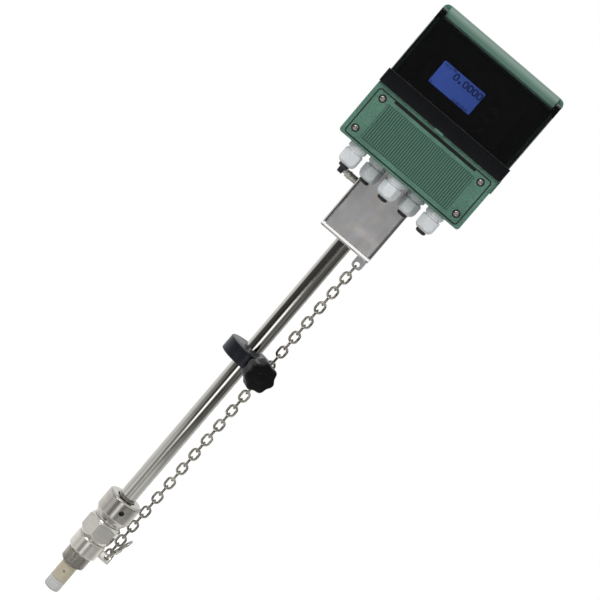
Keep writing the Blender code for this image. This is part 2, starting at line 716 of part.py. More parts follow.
def make_housing():
    """The green housing has a display compartment, a terminal compartment and a hinge bar."""
    w = HEAD_HALF_WIDTH
    top_edge = [(1, lambda m: m.z > SHELF_Z, HEAD_TOP_CORNER, 4)]
    bottom_edge = [(1, lambda m: m.z < PARTITION_Z / 2 + HEAD_BOTTOM / 2, HEAD_BOTTOM_CORNER, 3)]
    lip = HEAD_LOWER_FRONT / 2 + HEAD_UPPER_FRONT / 2
    housing = block(
        "rear_housing", (-w, HEAD_UPPER_FRONT, HEAD_BOTTOM), (w, HEAD_BACK, HEAD_TOP),
        top_edge + bottom_edge)
    join_block(
        housing, "terminal_compartment", (-w, HEAD_LOWER_FRONT, HEAD_BOTTOM),
        (w, HEAD_UPPER_FRONT + 5, SHELF_Z),
        bottom_edge + [(0, lambda m: m.z < PARTITION_Z / 2 + HEAD_BOTTOM / 2 and m.y < lip, 3.0, 3)])
    join_block(
        housing, "hinge_bar", (-HINGE_BAR_HALF, HINGE_BAR_FRONT, HINGE_BAR_BOTTOM),
        (HINGE_BAR_HALF, HEAD_UPPER_FRONT + 5, HEAD_TOP),
        [(0, lambda m: m.z > HINGE_Z and m.y < HINGE_Y, HINGE_BAR_ROUND, 5),
         (0, lambda m: m.z < HINGE_Z and m.y < HINGE_Y, 2.0, 2)])
    t = HEAD_WALL
    back = HEAD_BACK - t
    inner = w - t
    pocket_floor = HEAD_LOWER_FRONT + TERMINAL_COVER_THICKNESS
    cut_block(housing, "terminal_hollow", (-inner, pocket_floor + t, HEAD_BOTTOM + t),
              (inner, back, SHELF_Z - t))
    cut_block(housing, "display_hollow", (-inner, HEAD_UPPER_FRONT + t, PARTITION_Z),
              (inner, back, HEAD_TOP - t), [(1, lambda m: m.z > HINGE_Z, HEAD_TOP_CORNER - t, 3)])
    low, high = TERMINAL_OPENING
    cut_block(housing, "terminal_opening", (-TERMINAL_OPENING_HALF, HEAD_LOWER_FRONT - 1, low),
              (TERMINAL_OPENING_HALF, HEAD_LOWER_FRONT + 20, high), [(1, lambda m: True, 5.0, 3)])
    low, high = DISPLAY_OPENING
    cut_block(housing, "display_opening", (-DISPLAY_OPENING_HALF, HEAD_UPPER_FRONT - 1, low),
              (DISPLAY_OPENING_HALF, HEAD_UPPER_FRONT + 10, high), [(1, lambda m: True, 5.0, 3)])
    low, high = TERMINAL_COVER
    pocket = TERMINAL_COVER_HALF + COVER_GROOVE
    cut_block(housing, "cover_pocket", (-pocket, HEAD_LOWER_FRONT - 1, low - COVER_GROOVE),
              (pocket, pocket_floor, high + COVER_GROOVE),
              [(1, lambda m: True, 4.0, 3)])
    for index, x, y, _ in gland_places():
        cut_round(housing, f"gland_hole_{index}", GLAND_THREAD_R + GAP, 20, (x, y, HEAD_BOTTOM), steps=20)
    cut_round(housing, "neck_passage", PASSAGE_R, 20, (0, 0, HEAD_BOTTOM), steps=24)
    for index, (x, z) in enumerate(screw_places()):
        cut_round(housing, f"screw_hole_{index}", SCREW_SHANK_R + GAP, SCREW_HOLE_LENGTH,
                  (x, pocket_floor, z), (90, 0, 0))
    hinge = (0, HINGE_Y, HINGE_Z)
    cut_round(housing, "hinge_bore", HINGE_PIN_R + GAP, 2 * HINGE_BAR_HALF + 4, hinge, (0, 90, 0))
    return finish(housing, GREEN, 0.5)


def screw_places():
    """Centres of the terminal cover's screws, left to right and top to bottom."""
    return [(side * x, z) for x, z in (SCREW_TOP, SCREW_BOTTOM) for side in (-1, 1)]


def make_terminal_cover():
    """A screwed cover with fine upright ribs, a pry notch and sunk screw heads."""
    low, high = TERMINAL_COVER
    half = TERMINAL_COVER_HALF
    front = HEAD_LOWER_FRONT
    back = front + TERMINAL_COVER_THICKNESS - GAP
    cover = block("terminal_cover", (-half, front, low), (half, back, high), [
        (1, lambda m: True, 3.0, 3),
        (0, lambda m: m.z < (low + high) / 2 and m.y < front + 1, 2.0, 2)])
    count = int(2 * RIB_FIELD_HALF / RIB_PITCH)
    points = []
    start = -(count - 1) / 2 * RIB_PITCH
    for index in range(count):
        middle = start + index * RIB_PITCH
        points += [(middle - RIB_PITCH / 2, RIB_ROOT), (middle, RIB_HEIGHT)]
    points.append((-start + RIB_PITCH / 2, RIB_ROOT))
    points = [(points[0][0], -1.5)] + points + [(points[-1][0], -1.5)]
    bottom, top = RIB_FIELD
    frame = Matrix.Translation(Vector((0, front, (bottom + top) / 2)) * MM) @ Matrix.Scale(-1, 4, (0, 1, 0))
    ribs = outline("ribs", points, top - bottom, frame, CUTTERS)
    ribs.data.transform(frame)
    ribs.data.flip_normals()
    ribs.matrix_world = Matrix.Identity(4)
    combine(cover, ribs, "UNION")
    cut_block(cover, "pry_notch", (-PRY_NOTCH_HALF, front - 1, high - PRY_NOTCH_HEIGHT),
              (PRY_NOTCH_HALF, front + PRY_NOTCH_DEPTH, high + 1))
    for index, (x, z) in enumerate(screw_places()):
        cut_round(cover, f"sink_{index}", SCREW_SINK_R, 2 * SCREW_SINK_DEPTH, (x, front, z), (90, 0, 0), 16)
        cut_round(cover, f"clearance_{index}", SCREW_SHANK_R + GAP, 20, (x, front, z), (90, 0, 0), 12)
        seat = SCREW_SINK_DEPTH - GAP
        screw = turned(f"terminal_screw_{index + 1}", [
            (0, SCREW_HEAD_HEIGHT - seat), (SCREW_HEAD_R - 0.8, SCREW_HEAD_HEIGHT - seat),
            (SCREW_HEAD_R, SCREW_HEAD_HEIGHT - seat - 0.8), (SCREW_HEAD_R, -seat), (SCREW_SHANK_R, -seat),
            (SCREW_SHANK_R, -seat - SCREW_SHANK_LENGTH), (0, -seat - SCREW_SHANK_LENGTH),
        ], SMALL_STEPS, place=(x, front, z), turn=(90, 0, 0))
        finish(screw, STEEL, 0.3, 1.0)
    return finish(cover, GREEN, 0.5)


def make_display_cover():
    """The smoked cover is a tray that hangs on a pin through its two ears."""
    half = SMOKED_HALF
    cover = block("display_cover", (-half, SMOKED_FRONT, SMOKED_BOTTOM), (half, SMOKED_BACK, SMOKED_TOP), [
        (2, lambda m: m.y < HINGE_Y, 2.5, 3)])
    for side, name in ((-1, "left"), (1, "right")):
        inside, outside = sorted((side * EAR_INSIDE, side * half))
        join_block(cover, "ear_" + name, (inside, SMOKED_FRONT, SMOKED_TOP - EAR_LENGTH),
                   (outside, SMOKED_BACK, EAR_TOP), [(0, lambda m: m.z > HINGE_Z, EAR_CORNER, 3)])
    join_block(cover, "ridge", (-RIDGE_HALF, RIDGE_FRONT, SMOKED_BOTTOM),
               (RIDGE_HALF, SMOKED_BACK - 6, SMOKED_BOTTOM + RIDGE_HEIGHT), [
                   (2, lambda m: m.y < HINGE_Y, 2.5, 3),
                   (0, lambda m: m.z > SMOKED_BOTTOM + 1 and m.y < HINGE_Y, 2.2, 2)])
    cut_block(cover, "cover_hollow", (-half + SMOKED_WALL, SMOKED_FRONT + SMOKED_FACE, SMOKED_BOTTOM + 3),
              (half - SMOKED_WALL, SMOKED_BACK + 5, EAR_TOP - 12))
    cut_block(cover, "hinge_bar_room", (-EAR_INSIDE, SMOKED_FRONT + SMOKED_FACE, EAR_TOP - 13),
              (EAR_INSIDE, SMOKED_BACK + 5, EAR_TOP + 1))
    join_block(cover, "latch", (-LATCH_HALF, RIDGE_FRONT + 0.5, SMOKED_BOTTOM - LATCH_DROP),
               (LATCH_HALF, HEAD_LOWER_FRONT - 1.5, SMOKED_BOTTOM + 1))
    join_block(cover, "seal_tab", (HEAD_HALF_WIDTH + GAP, -88.0, SEAL_TAB_BOTTOM),
               (HEAD_HALF_WIDTH + 1.5, -76.0, SMOKED_BOTTOM + 2))
    cut_round(cover, "ear_bore", HINGE_PIN_R + GAP, 2 * half + 8, (0, HINGE_Y, HINGE_Z), (0, 90, 0), 12)
    set_origin(cover, (0, HINGE_Y, HINGE_Z))
    finish(cover, BLACK, 0.1)
    pin = turned("hinge_pin", rod(HINGE_PIN_R, -half + GAP, half - GAP), 12, place=(0, HINGE_Y, HINGE_Z),
                 turn=(0, 90, 0))
    finish(pin, STEEL, 0.3, 1.0)
    return cover, pin


def key_heights():
    """Heights of the key centres, from the top down."""
    return [KEY_TOP_Z - KEY_PITCH * index for index in range(KEY_COUNT)]


def make_front_panel():
    """A moulded black panel with a raised bezel, the display window and the key holes."""
    low, high = BEZEL
    panel_front = HEAD_UPPER_FRONT - GAP - PANEL_THICKNESS
    panel = block("front_panel", (-PANEL_HALF, panel_front, PANEL[0]),
                  (PANEL_HALF, HEAD_UPPER_FRONT - GAP, PANEL[1]), [(1, lambda m: True, 3.0, 2)])
    join_block(panel, "bezel", (-BEZEL_HALF, BEZEL_FRONT, low), (BEZEL_HALF, panel_front + 1, high),
               [(1, lambda m: True, 4.0, 3)])
    wall = BEZEL_WALL
    cut_block(panel, "bezel_hollow", (-BEZEL_HALF + wall, BEZEL_FRONT + wall, low + wall),
              (BEZEL_HALF - wall, HEAD_UPPER_FRONT + 1, high - wall))
    cut_block(panel, "window", (LCD_LEFT, BEZEL_FRONT - 1, LCD[0]), (LCD_RIGHT, BEZEL_FRONT + 10, LCD[1]))
    for index, z in enumerate(key_heights()):
        cut_round(panel, f"key_hole_{index}", KEY_R + GAP, 12, (KEY_X, BEZEL_FRONT, z), (90, 0, 0))
    finish(panel, BLACK, 0.4)
    back = BEZEL_FRONT + wall
    lcd = block("lcd_module", (LCD_LEFT + GAP, BEZEL_FRONT + LCD_RECESS, LCD[0] + GAP),
                (LCD_RIGHT - GAP, back + 2, LCD[1] - GAP))
    join_block(lcd, "lcd_frame", (LCD_LEFT - LCD_FLANGE, back + GAP, LCD[0] - LCD_FLANGE),
               (LCD_RIGHT + LCD_FLANGE, back + LCD_DEPTH, LCD[1] + LCD_FLANGE))
    finish(lcd, (0.05, 0.10, 0.35), 0.2)
    board = block("main_board", (-BEZEL_HALF + wall + GAP, back + LCD_DEPTH + GAP, low + wall + GAP),
                  (BEZEL_HALF - wall - GAP, back + LCD_DEPTH + GAP + BOARD_THICKNESS, high - wall - GAP))
    finish(board, (0.02, 0.12, 0.05), 0.5)
    keys = []
    for index, z in enumerate(key_heights()):
        flange = back + GAP
        key = turned(f"key_{index + 1}", [
            (0, KEY_PROUD - BEZEL_FRONT), (KEY_R - 0.6, KEY_PROUD - BEZEL_FRONT),
            (KEY_R, KEY_PROUD - BEZEL_FRONT - 0.6), (KEY_R, -flange), (KEY_FLANGE_R, -flange),
            (KEY_FLANGE_R, -flange - 1.2), (2.0, -flange - 1.2), (2.0, -flange - LCD_DEPTH + 1.6),
            (0, -flange - LCD_DEPTH + 1.6),
        ], SMALL_STEPS, place=(KEY_X, 0, z), turn=(90, 0, 0))
        finish(key, (0.03, 0.03, 0.035), 0.6)
        keys.append(key)
    return [panel, lcd, board], keys


def make_terminal_block():
    """A row of wire entries on the back wall of the terminal compartment."""
    back = HEAD_BACK - HEAD_WALL - GAP
    front = back - TERMINAL_BLOCK_DEPTH
    low, high = TERMINAL_BLOCK
    body = block("terminal_block", (-TERMINAL_BLOCK_HALF, front, low), (TERMINAL_BLOCK_HALF, back, high))
    pitch = 2 * TERMINAL_BLOCK_HALF / TERMINAL_WAYS
    for way in range(TERMINAL_WAYS):
        x = -TERMINAL_BLOCK_HALF + (way + 0.5) * pitch
        cut_block(body, f"way_{way}", (x - pitch / 3, front - 1, low + WAY_RIM),
                  (x + pitch / 3, front + WAY_DEPTH, high - WAY_RIM))
    return finish(body, (0.05, 0.15, 0.30), 0.5)


def make_glands():
    """Cable glands: a body in the housing's floor, a domed hexagon nut and a blanking plug."""
    pieces = []
    corner = GLAND_ACROSS_FLATS / 2 / math.cos(math.radians(30))
    for index, x, y, turn in gland_places():
        flange_top = HEAD_BOTTOM - GAP
        flange_bottom = flange_top - GLAND_FLANGE_HEIGHT
        nut_top = flange_bottom - GAP
        nut_bottom = nut_top - GLAND_NUT_HEIGHT
        thread_top = flange_top + GLAND_THREAD_LENGTH
        body = prism(
            f"gland_body_{index}", GLAND_ACROSS_FLATS, flange_bottom, thread_top, turn, place=(x, y, 0))
        shape = turned(f"gland_turning_{index}", [
            (GLAND_THREAD_R, thread_top), (GLAND_THREAD_R, flange_top),
            (corner, flange_top), (corner, flange_bottom + 3.4), (corner - 2.4, flange_bottom + 2.0),
            (corner - 2.4, flange_bottom),
            (GLAND_MOUTH_R - 0.6, flange_bottom), (GLAND_MOUTH_R - 0.6, thread_top),
        ], SMALL_STEPS, CUTTERS, (x, y, 0))
        combine(body, shape, "INTERSECT")
        finish(body, NYLON, 0.4)
        nut = prism(f"gland_nut_{index}", GLAND_ACROSS_FLATS, nut_bottom, nut_top, turn, place=(x, y, 0))
        dome = turned(f"nut_dome_{index}", [
            (corner - 0.8, nut_top), (corner, nut_top - 1.2), (corner, nut_bottom + 7.0),
            (corner - 1.3, nut_bottom + 3.2), (corner - 3.2, nut_bottom + 0.9), (corner - 4.9, nut_bottom),
            (GLAND_MOUTH_R, nut_bottom), (GLAND_MOUTH_R, nut_top),
        ], SMALL_STEPS, CUTTERS, (x, y, 0))
        combine(nut, dome, "INTERSECT")
        finish(nut, NYLON, 0.35)
        plug_r = GLAND_MOUTH_R - GAP
        tip = nut_bottom - GLAND_PLUG_PROUD
        plug = turned(f"gland_plug_{index}", [
            (0, nut_top - 2), (plug_r, nut_top - 2), (plug_r, tip + 1.6), (plug_r - 1.2, tip + 0.3),
            (plug_r - 2.4, tip), (0, tip),
        ], SMALL_STEPS, place=(x, y, 0))
        finish(plug, BLACK, 0.7)
        pieces += [body, nut, plug]
    return pieces


def main():
    """Build every part and parent the moving ones to what carries them."""
    probe = guide("probe_slide", (0, 0, 0))
    collar_guide = guide("collar_slide", (0, 0, COLLAR_BOTTOM))
    make_fitting()
    make_chain()
    make_quick_link()
    collar, knob = make_collar()
    panel_pieces, keys = make_front_panel()
    display_cover, pin = make_display_cover()
    screws = [f"terminal_screw_{index + 1}" for index in range(len(screw_places()))]
    riding = [make_rod()] + make_sensor() + make_neck() + [make_housing(), make_terminal_cover(), pin]
    riding += panel_pieces + [make_terminal_block()] + make_glands() + keys + [display_cover]
    carry(probe, *riding)
    carry(probe, *(bpy.data.objects[name] for name in screws))
    carry(collar_guide, collar, knob)


main()
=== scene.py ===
"""Insertion flow meter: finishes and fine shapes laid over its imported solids.

Sizes are written in millimetres and go into the meshes in metres. The rod's axis is Z, the
sealing face of the fitting's shoulder is Z = 0, and the front of the head faces -Y.
"""

import json
import math

import bmesh
import bpy
import numpy as np
from bpy.props import FloatProperty, FloatVectorProperty, IntProperty, PointerProperty, StringProperty
from mathutils import Matrix, Quaternion, Vector

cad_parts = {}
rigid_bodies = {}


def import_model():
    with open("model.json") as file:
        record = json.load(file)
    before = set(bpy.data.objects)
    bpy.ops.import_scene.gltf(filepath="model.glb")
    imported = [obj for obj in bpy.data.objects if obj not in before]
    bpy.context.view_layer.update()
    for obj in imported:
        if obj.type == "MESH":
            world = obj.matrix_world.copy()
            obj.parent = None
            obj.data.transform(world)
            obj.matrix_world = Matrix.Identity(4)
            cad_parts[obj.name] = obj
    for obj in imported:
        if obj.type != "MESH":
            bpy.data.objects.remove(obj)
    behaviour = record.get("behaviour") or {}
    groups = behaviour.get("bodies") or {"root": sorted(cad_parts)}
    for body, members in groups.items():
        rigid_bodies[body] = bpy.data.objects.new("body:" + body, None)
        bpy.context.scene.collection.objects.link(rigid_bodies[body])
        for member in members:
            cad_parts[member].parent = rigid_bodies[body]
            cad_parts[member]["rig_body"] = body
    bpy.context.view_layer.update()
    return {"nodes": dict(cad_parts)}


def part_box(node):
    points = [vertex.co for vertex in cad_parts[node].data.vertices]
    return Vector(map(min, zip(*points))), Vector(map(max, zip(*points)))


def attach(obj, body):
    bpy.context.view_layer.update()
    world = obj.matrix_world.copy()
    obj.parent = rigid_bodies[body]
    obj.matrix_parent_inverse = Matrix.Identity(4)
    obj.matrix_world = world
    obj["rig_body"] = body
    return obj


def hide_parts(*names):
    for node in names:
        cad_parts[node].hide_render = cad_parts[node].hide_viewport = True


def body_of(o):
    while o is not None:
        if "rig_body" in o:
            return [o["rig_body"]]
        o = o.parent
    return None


bl_info = {
    "name": "Insertion Flow Meter",
    "version": (1, 0, 0),
    "blender": (4, 5, 0),
    "location": "3D View > Sidebar > Flow Meter",
    "description": "Dresses the packed insertion flow meter with its finishes and fine shapes",
    "category": "Object",
}

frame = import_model()
MM = 0.001
FULL_TURN = 2.0 * math.pi


def linear(colour, alpha=1.0):
    """Linear RGBA of an sRGB hex colour such as "#4f8069"."""
    value = np.array([int(colour[i:i + 2], 16) for i in (1, 3, 5)]) / 255.0
    value = np.where(value <= 0.04045, value / 12.92, ((value + 0.055) / 1.055) ** 2.4)
    return (*value.tolist(), alpha)


def limits(node):
    """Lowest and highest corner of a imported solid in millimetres."""
    low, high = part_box(node)
    return np.array(low) / MM, np.array(high) / MM


# ---------------------------------------------------------------------------------------
# Sizes and colours that a user may change
# ---------------------------------------------------------------------------------------


def paint(name, description, colour):
    """A colour setting with that sRGB hex colour to start with."""
    return FloatVectorProperty(name=name, description=description, subtype="COLOR", size=4, default=linear(colour))


class FlowMeterShapes(bpy.types.PropertyGroup):
    thread_pitch: FloatProperty(
        name="Thread Pitch", description="Advance of the process thread per turn, in mm (11 per inch)",
        default=2.309, min=0.5)
    thread_depth: FloatProperty(
        name="Thread Depth", description="Height of the process thread from root to crest, in mm",
        default=1.48, min=0.1)
    wire: FloatProperty(
        name="Chain Wire", description="Radius of the safety chain's wire, in mm", default=1.6, min=0.5)
    weld_swell: FloatProperty(
        name="Weld Swell", description="Share by which a link's wire is thicker at its weld",
        default=0.09, min=0.0, max=0.3)
    knob_lobes: IntProperty(
        name="Knob Lobes", description="Number of finger lobes round the star knob", default=7, min=3)
    knob_lobe: FloatProperty(
        name="Lobe Height", description="How far each lobe of the star knob rises and falls, in mm",
        default=1.2, min=0.0)
    edge: FloatProperty(
        name="Moulded Edge", description="Width of the rounding on moulded edges, in mm",
        default=0.6, min=0.05)
    reading: StringProperty(
        name="Reading", description="Number that the display shows (digits and a point)", default="0.0000")


class FlowMeterColours(bpy.types.PropertyGroup):
    housing: paint("Housing", "Green of the moulded head", "#4d7665")
    cover: paint("Smoked Cover", "Tint of the display's hinged cover", "#9a9da4")
    display: paint("Display", "Lit ground of the display", "#4b68bd")
    glands: paint("Cable Glands", "Nylon of the cable glands", "#dbdfe0")
    knob: paint("Knob", "Black of the clamping collar's knob", "#0d0d0f")


class FlowMeterStudio(bpy.types.PropertyGroup):
    distance: FloatProperty(
        name="Distance", description="From the aim point to the camera", default=2.436, unit="LENGTH")
    height_angle: FloatProperty(
        name="Height Angle", description="How far the camera stands above the aim point",
        default=math.radians(7.9), subtype="ANGLE", unit="ROTATION")
    roll: FloatProperty(
        name="Roll", description="How far the meter leans clockwise in the picture",
        default=math.radians(40.5), subtype="ANGLE", unit="ROTATION")
    lens: FloatProperty(name="Lens", description="Focal length on a 36 mm sensor, in mm", default=121.8)
    key_power: FloatProperty(
        name="Key Lamp", description="Power of the large lamp at the upper left", default=26.0, unit="POWER")
    fill_power: FloatProperty(
        name="Fill Lamp", description="Power of the lamp at the right", default=9.0, unit="POWER")
    floor: FloatProperty(
        name="Floor", description="Height of the white floor", default=-0.35, unit="LENGTH")


# ---------------------------------------------------------------------------------------
# Surfaces worked out with numpy
# ---------------------------------------------------------------------------------------


def skin(points, loop=(False, True)):
    """Points (rows, columns, 3) and their quads as (points, faces).

    Each quad joins a point to its right, upper right and upper neighbour; in a direction that
    loops, the last line is joined to the first.
    """
    rows, columns = points.shape[:2]
    index = np.arange(rows * columns).reshape(rows, columns)
    if loop[0]:
        index = np.vstack([index, index[:1]])
    if loop[1]:
        index = np.hstack([index, index[:, :1]])
    quads = np.stack([index[:-1, :-1], index[:-1, 1:], index[1:, 1:], index[1:, :-1]], axis=-1)
    return points.reshape(-1, 3), quads.reshape(-1, 4)


def capped(rings, low, high):
    """Rings of points, with one more ring at either end that closes on a point."""
    ends = np.broadcast_to(np.array([low, high], float)[:, None, None], (2, 1, *rings.shape[1:]))
    return np.vstack([ends[0], rings, ends[1]])


def joined(*skins):
    """Several (points, faces) as one."""
    starts = np.cumsum([0] + [len(points) for points, _ in skins[:-1]])
    return (np.vstack([points for points, _ in skins]),
            np.vstack([faces + start for (_, faces), start in zip(skins, starts)]))


def eased(profile, size, steps=5, loop=True):
    """A profile whose corners are rounded.

    Each corner becomes the parabola from a point at most `size` before it to one at most
    `size` after it, or 45% of the side where that is shorter: (1-t)^2 a + 2t(1-t) b + t^2 c.
    A corner on the axis (radius 0) stays sharp, and so do the ends of an open profile.
    """
    corner = np.asarray(profile, float)
    before, after = np.roll(corner, 1, axis=0) - corner, np.roll(corner, -1, axis=0) - corner
    reach = np.broadcast_to(np.asarray(size, float), len(corner)).copy()
    reach[corner[:, 0] <= 1e-9] = 0.0
    if not loop:
        reach[[0, -1]] = 0.0
    sides = []
    for run in (before, after):
        length = np.maximum(np.linalg.norm(run, axis=1), 1e-9)
        sides.append(corner + run * (np.minimum(reach, 0.45 * length) / length)[:, None])
    t = np.linspace(0.0, 1.0, steps)[None, :, None]
    a, b, c = sides[0][:, None], corner[:, None], sides[1][:, None]
    return ((1 - t) ** 2 * a + 2 * t * (1 - t) * b + t ** 2 * c).reshape(-1, 2)


def dense(line, step):
    """An open line with points at most `step` apart, so that a shape can follow it."""
    line = np.asarray(line, float)
    runs = []
    for start, end in zip(line, line[1:]):
        t = np.arange(max(1, math.ceil(np.linalg.norm(end - start) / step)))[:, None]
        runs.append(start + (end - start) * t / len(t))
    return np.vstack([*runs, line[-1:]])


def turned(profile, steps=128, shape=None, place=None, start=0.0):
    """A turned form: (radius, height) pairs carried round Z, closed from the last to the first.

    A point is (r cos a, r sin a, h) for the angle a, which begins at `start` degrees;
    `shape` may change r by (r, a, h), and `place` is a matrix that then moves the form.
    """
    profile = np.asarray(profile, float)
    angle = math.radians(start) + np.arange(steps)[None, :] * FULL_TURN / steps
    radius = np.broadcast_to(profile[:, :1], (len(profile), steps))
    height = np.broadcast_to(profile[:, 1:], (len(profile), steps))
    if shape:
        radius = shape(radius, angle, height)
    points = np.stack([radius * np.cos(angle), radius * np.sin(angle), height], axis=-1)
    on_axis = profile[:, 0].min() <= 1e-9
    return skin(moved(points, place), (not on_axis, True))


def placed(place, *turns):
    """A matrix that turns a form by each (degrees, axis), the last one first, and then moves it."""
    matrix = Matrix.Translation(place)
    for degrees, axis in turns:
        matrix = matrix @ Matrix.Rotation(math.radians(degrees), 4, axis)
    return matrix


def moved(points, place):
    """Points under a 4 x 4 matrix, or unchanged where there is none."""
    if place is None:
        return points
    matrix = np.array(place)
    return points @ matrix[:3, :3].T + matrix[:3, 3]


def hexagon(across, corner):
    """A shape for turned(): no point lies outside a hexagon with one corner at that angle.

    The distance from the axis to a flat is across / 2 / cos(b), where b is the angle from
    the middle of the nearest flat.
    """
    def cut(radius, angle, height):
        from_flat = np.mod(angle - math.radians(corner), FULL_TURN / 6) - FULL_TURN / 12
        return np.minimum(radius, across / 2 / np.cos(from_flat))
    return cut


def oval(straight, bend, count):
    """A closed oval of two half circles and two straights, and its directions.

    The distance s along it is even. It runs up the right side, round the top, down the left
    side and round the bottom, in the XZ plane round the origin.
    """
    half, arc = straight / 2, math.pi * bend
    s = np.arange(count) / count * (2 * straight + 2 * arc)
    knots = np.cumsum([0, straight, arc, straight])
    part = np.searchsorted(knots, s, side="right") - 1
    t = s - knots[part]
    turn = t / bend
    x = np.choose(part, [bend + 0 * t, bend * np.cos(turn), -bend + 0 * t, -bend * np.cos(turn)])
    z = np.choose(part, [t - half, half + bend * np.sin(turn), half - t, -half - bend * np.sin(turn)])
    along_x = np.choose(part, [0 * t, -np.sin(turn), 0 * t, np.sin(turn)])
    along_z = np.choose(part, [1 + 0 * t, np.cos(turn), -1 + 0 * t, -np.cos(turn)])
    zero = 0 * t
    return np.stack([x, zero, z], axis=-1), np.stack([along_x, zero, along_z], axis=-1), s


def ring_of_wire(straight, bend, wire, swell=0.0, count=48, sides=12):
    """A closed link: a circle of the wire's radius carried round the oval.

    The radius grows by `swell` over about 2 mm round the middle of the first straight,
    where the link is welded: wire * (1 + swell * exp(-(d / 1.1)^2)).
    """
    path, along, s = oval(straight, bend, count)
    across = np.array([0.0, 1.0, 0.0])
    outward = np.cross(across, along)
    radius = wire * (1 + swell * np.exp(-((s - straight / 2) / 1.1) ** 2))
    turn = np.arange(sides)[None, :, None] * FULL_TURN / sides
    ring = np.cos(turn) * outward[:, None, :] + np.sin(turn) * across
    return skin(path[:, None, :] + radius[:, None, None] * ring, (True, True))


def slab(low, high, ease=0.3, rows=4):
    """A closed block whose corners are eighths of a sphere.

    A point is the block's corner drawn in by `ease`, plus `ease` times the direction
    (cos b cos a, cos b sin a, sin b); the first and last ring close on the middle.
    """
    low, high = np.asarray(low, float), np.asarray(high, float)
    half = (high - low) / 2
    ease = min(ease, 0.98 * half.min())
    quarter = np.linspace(0, FULL_TURN / 4, rows)
    a = (np.arange(4)[:, None] * FULL_TURN / 4 + quarter).ravel()
    b = np.concatenate([quarter - FULL_TURN / 4, quarter])[:, None]
    side = np.repeat([[1, -1, -1, 1], [1, 1, -1, -1]], rows, axis=1)
    inner = half - ease
    points = np.stack([
        side[0] * inner[0] + ease * np.cos(b) * np.cos(a),
        side[1] * inner[1] + ease * np.cos(b) * np.sin(a),
        np.repeat([-1, 1], rows)[:, None] * inner[2] + ease * np.sin(b) + 0 * a], axis=-1)
    return skin(capped(points, (0, 0, -half[2]), (0, 0, half[2])) + (low + high) / 2)


def plate(outline, bottom, top, ease, place=None, rows=5):
    """A closed plate: an outline of (x, y) points round the origin carried from bottom to top.

    Near each end the outline is drawn in towards the axis by ease * (1 - cos t) while it
    goes through the last ease * (1 - sin t) of the height, and then it closes on the axis.
    """
    outline = np.asarray(outline, float)
    t = np.linspace(0, FULL_TURN / 4, rows)
    inset, rise = ease * (1 - np.sin(t)), ease * (1 - np.cos(t))
    drawn = np.concatenate([inset, inset[::-1]])[:, None]
    height = np.concatenate([bottom + rise, (top - rise)[::-1]])[:, None]
    scale = 1 - drawn / np.linalg.norm(outline, axis=1)
    rings = np.stack([outline[:, 0] * scale, outline[:, 1] * scale, height + 0 * scale], axis=-1)
    return skin(moved(capped(rings, (0, 0, bottom), (0, 0, top)), place))


def beading(low, high, corner, section, rows=7):
    """A closed bead round a rectangle in the XZ plane, given by its low and high corners.

    The path is the rectangle with corners of that radius; the point (o, y) of the section
    lies o outside the path and at the depth y.
    """
    low, high = np.asarray(low, float), np.asarray(high, float)
    half, middle = (high - low) / 2, (high + low) / 2
    turn = (np.arange(4)[:, None] * FULL_TURN / 4 + np.linspace(0, FULL_TURN / 4, rows)).ravel()
    side = np.repeat([[1, -1, -1, 1], [1, 1, -1, -1]], rows, axis=1)
    out = np.stack([np.cos(turn), np.sin(turn)], axis=-1)
    path = middle + side.T * (half - corner) + corner * out
    section = np.asarray(section, float)
    flat = path[:, None, :] + out[:, None, :] * section[None, :, :1]
    depth = np.broadcast_to(section[None, :, 1], flat.shape[:2])
    return skin(np.stack([flat[..., 0], depth, flat[..., 1]], axis=-1), (True, True))


def rib_field(half, low, high, pitch, front, root, crest):
    """A closed block whose front is a row of upright ribs.

    With p = (1 + cos(2 pi x / pitch)) / 2, the rib's height is root + (crest - root) s,
    where s rises smoothly (3 q^2 - 2 q^3) as p goes from 0.3 to 0.75. The height fades to
    nothing over the last millimetre at the low and high ends.
    """
    count = int(2 * half / pitch)
    half = count * pitch / 2
    x = np.linspace(-half, half, 12 * count + 1)
    p = (1 + np.cos(FULL_TURN * (x + half + pitch / 2) / pitch)) / 2
    q = np.clip((p - 0.3) / 0.45, 0, 1)
    height = root + (crest - root) * (3 * q ** 2 - 2 * q ** 3)
    edge = np.array([0.0, 0.15, 0.45, 0.75, 1.0])
    z = np.concatenate([low + edge, high - edge[::-1]])[:, None]
    fade = np.sqrt(np.concatenate([edge, edge[::-1]]))[:, None]
    across = np.concatenate([x, x[[-1, 0]]]) + 0 * z
    depth = np.hstack([front - height * fade, np.full((len(z), 2), front + 0.3)])
    rings = np.stack([across, depth, z + 0 * across], axis=-1)
    return skin(capped(rings, (0, front + 0.15, low), (0, front + 0.15, high)))


# ---------------------------------------------------------------------------------------
# Pieces
# ---------------------------------------------------------------------------------------


def cleaned(mesh, merge=0.002):
    """Merges doubles at poles and seams (within `merge` mm) and turns all faces outwards."""
    bm = bmesh.new()
    bm.from_mesh(mesh)
    bmesh.ops.remove_doubles(bm, verts=bm.verts, dist=merge * MM)
    bmesh.ops.recalc_face_normals(bm, faces=bm.faces)
    bm.to_mesh(mesh)
    bm.free()


def shaped(name, form):
    """An object of a form (points in mm, quads)."""
    points, faces = form
    mesh = bpy.data.meshes.new(name)
    mesh.vertices.add(len(points))
    mesh.vertices.foreach_set("co", (points * MM).astype(np.float32).ravel())
    mesh.loops.add(faces.size)
    mesh.loops.foreach_set("vertex_index", faces.astype(np.int32).ravel())
    mesh.polygons.add(len(faces))
    mesh.polygons.foreach_set("loop_start", np.arange(0, faces.size, 4, dtype=np.int32))
    mesh.update(calc_edges=True)
    cleaned(mesh)
    obj = bpy.data.objects.new(name, mesh)
    bpy.context.scene.collection.objects.link(obj)
    return obj


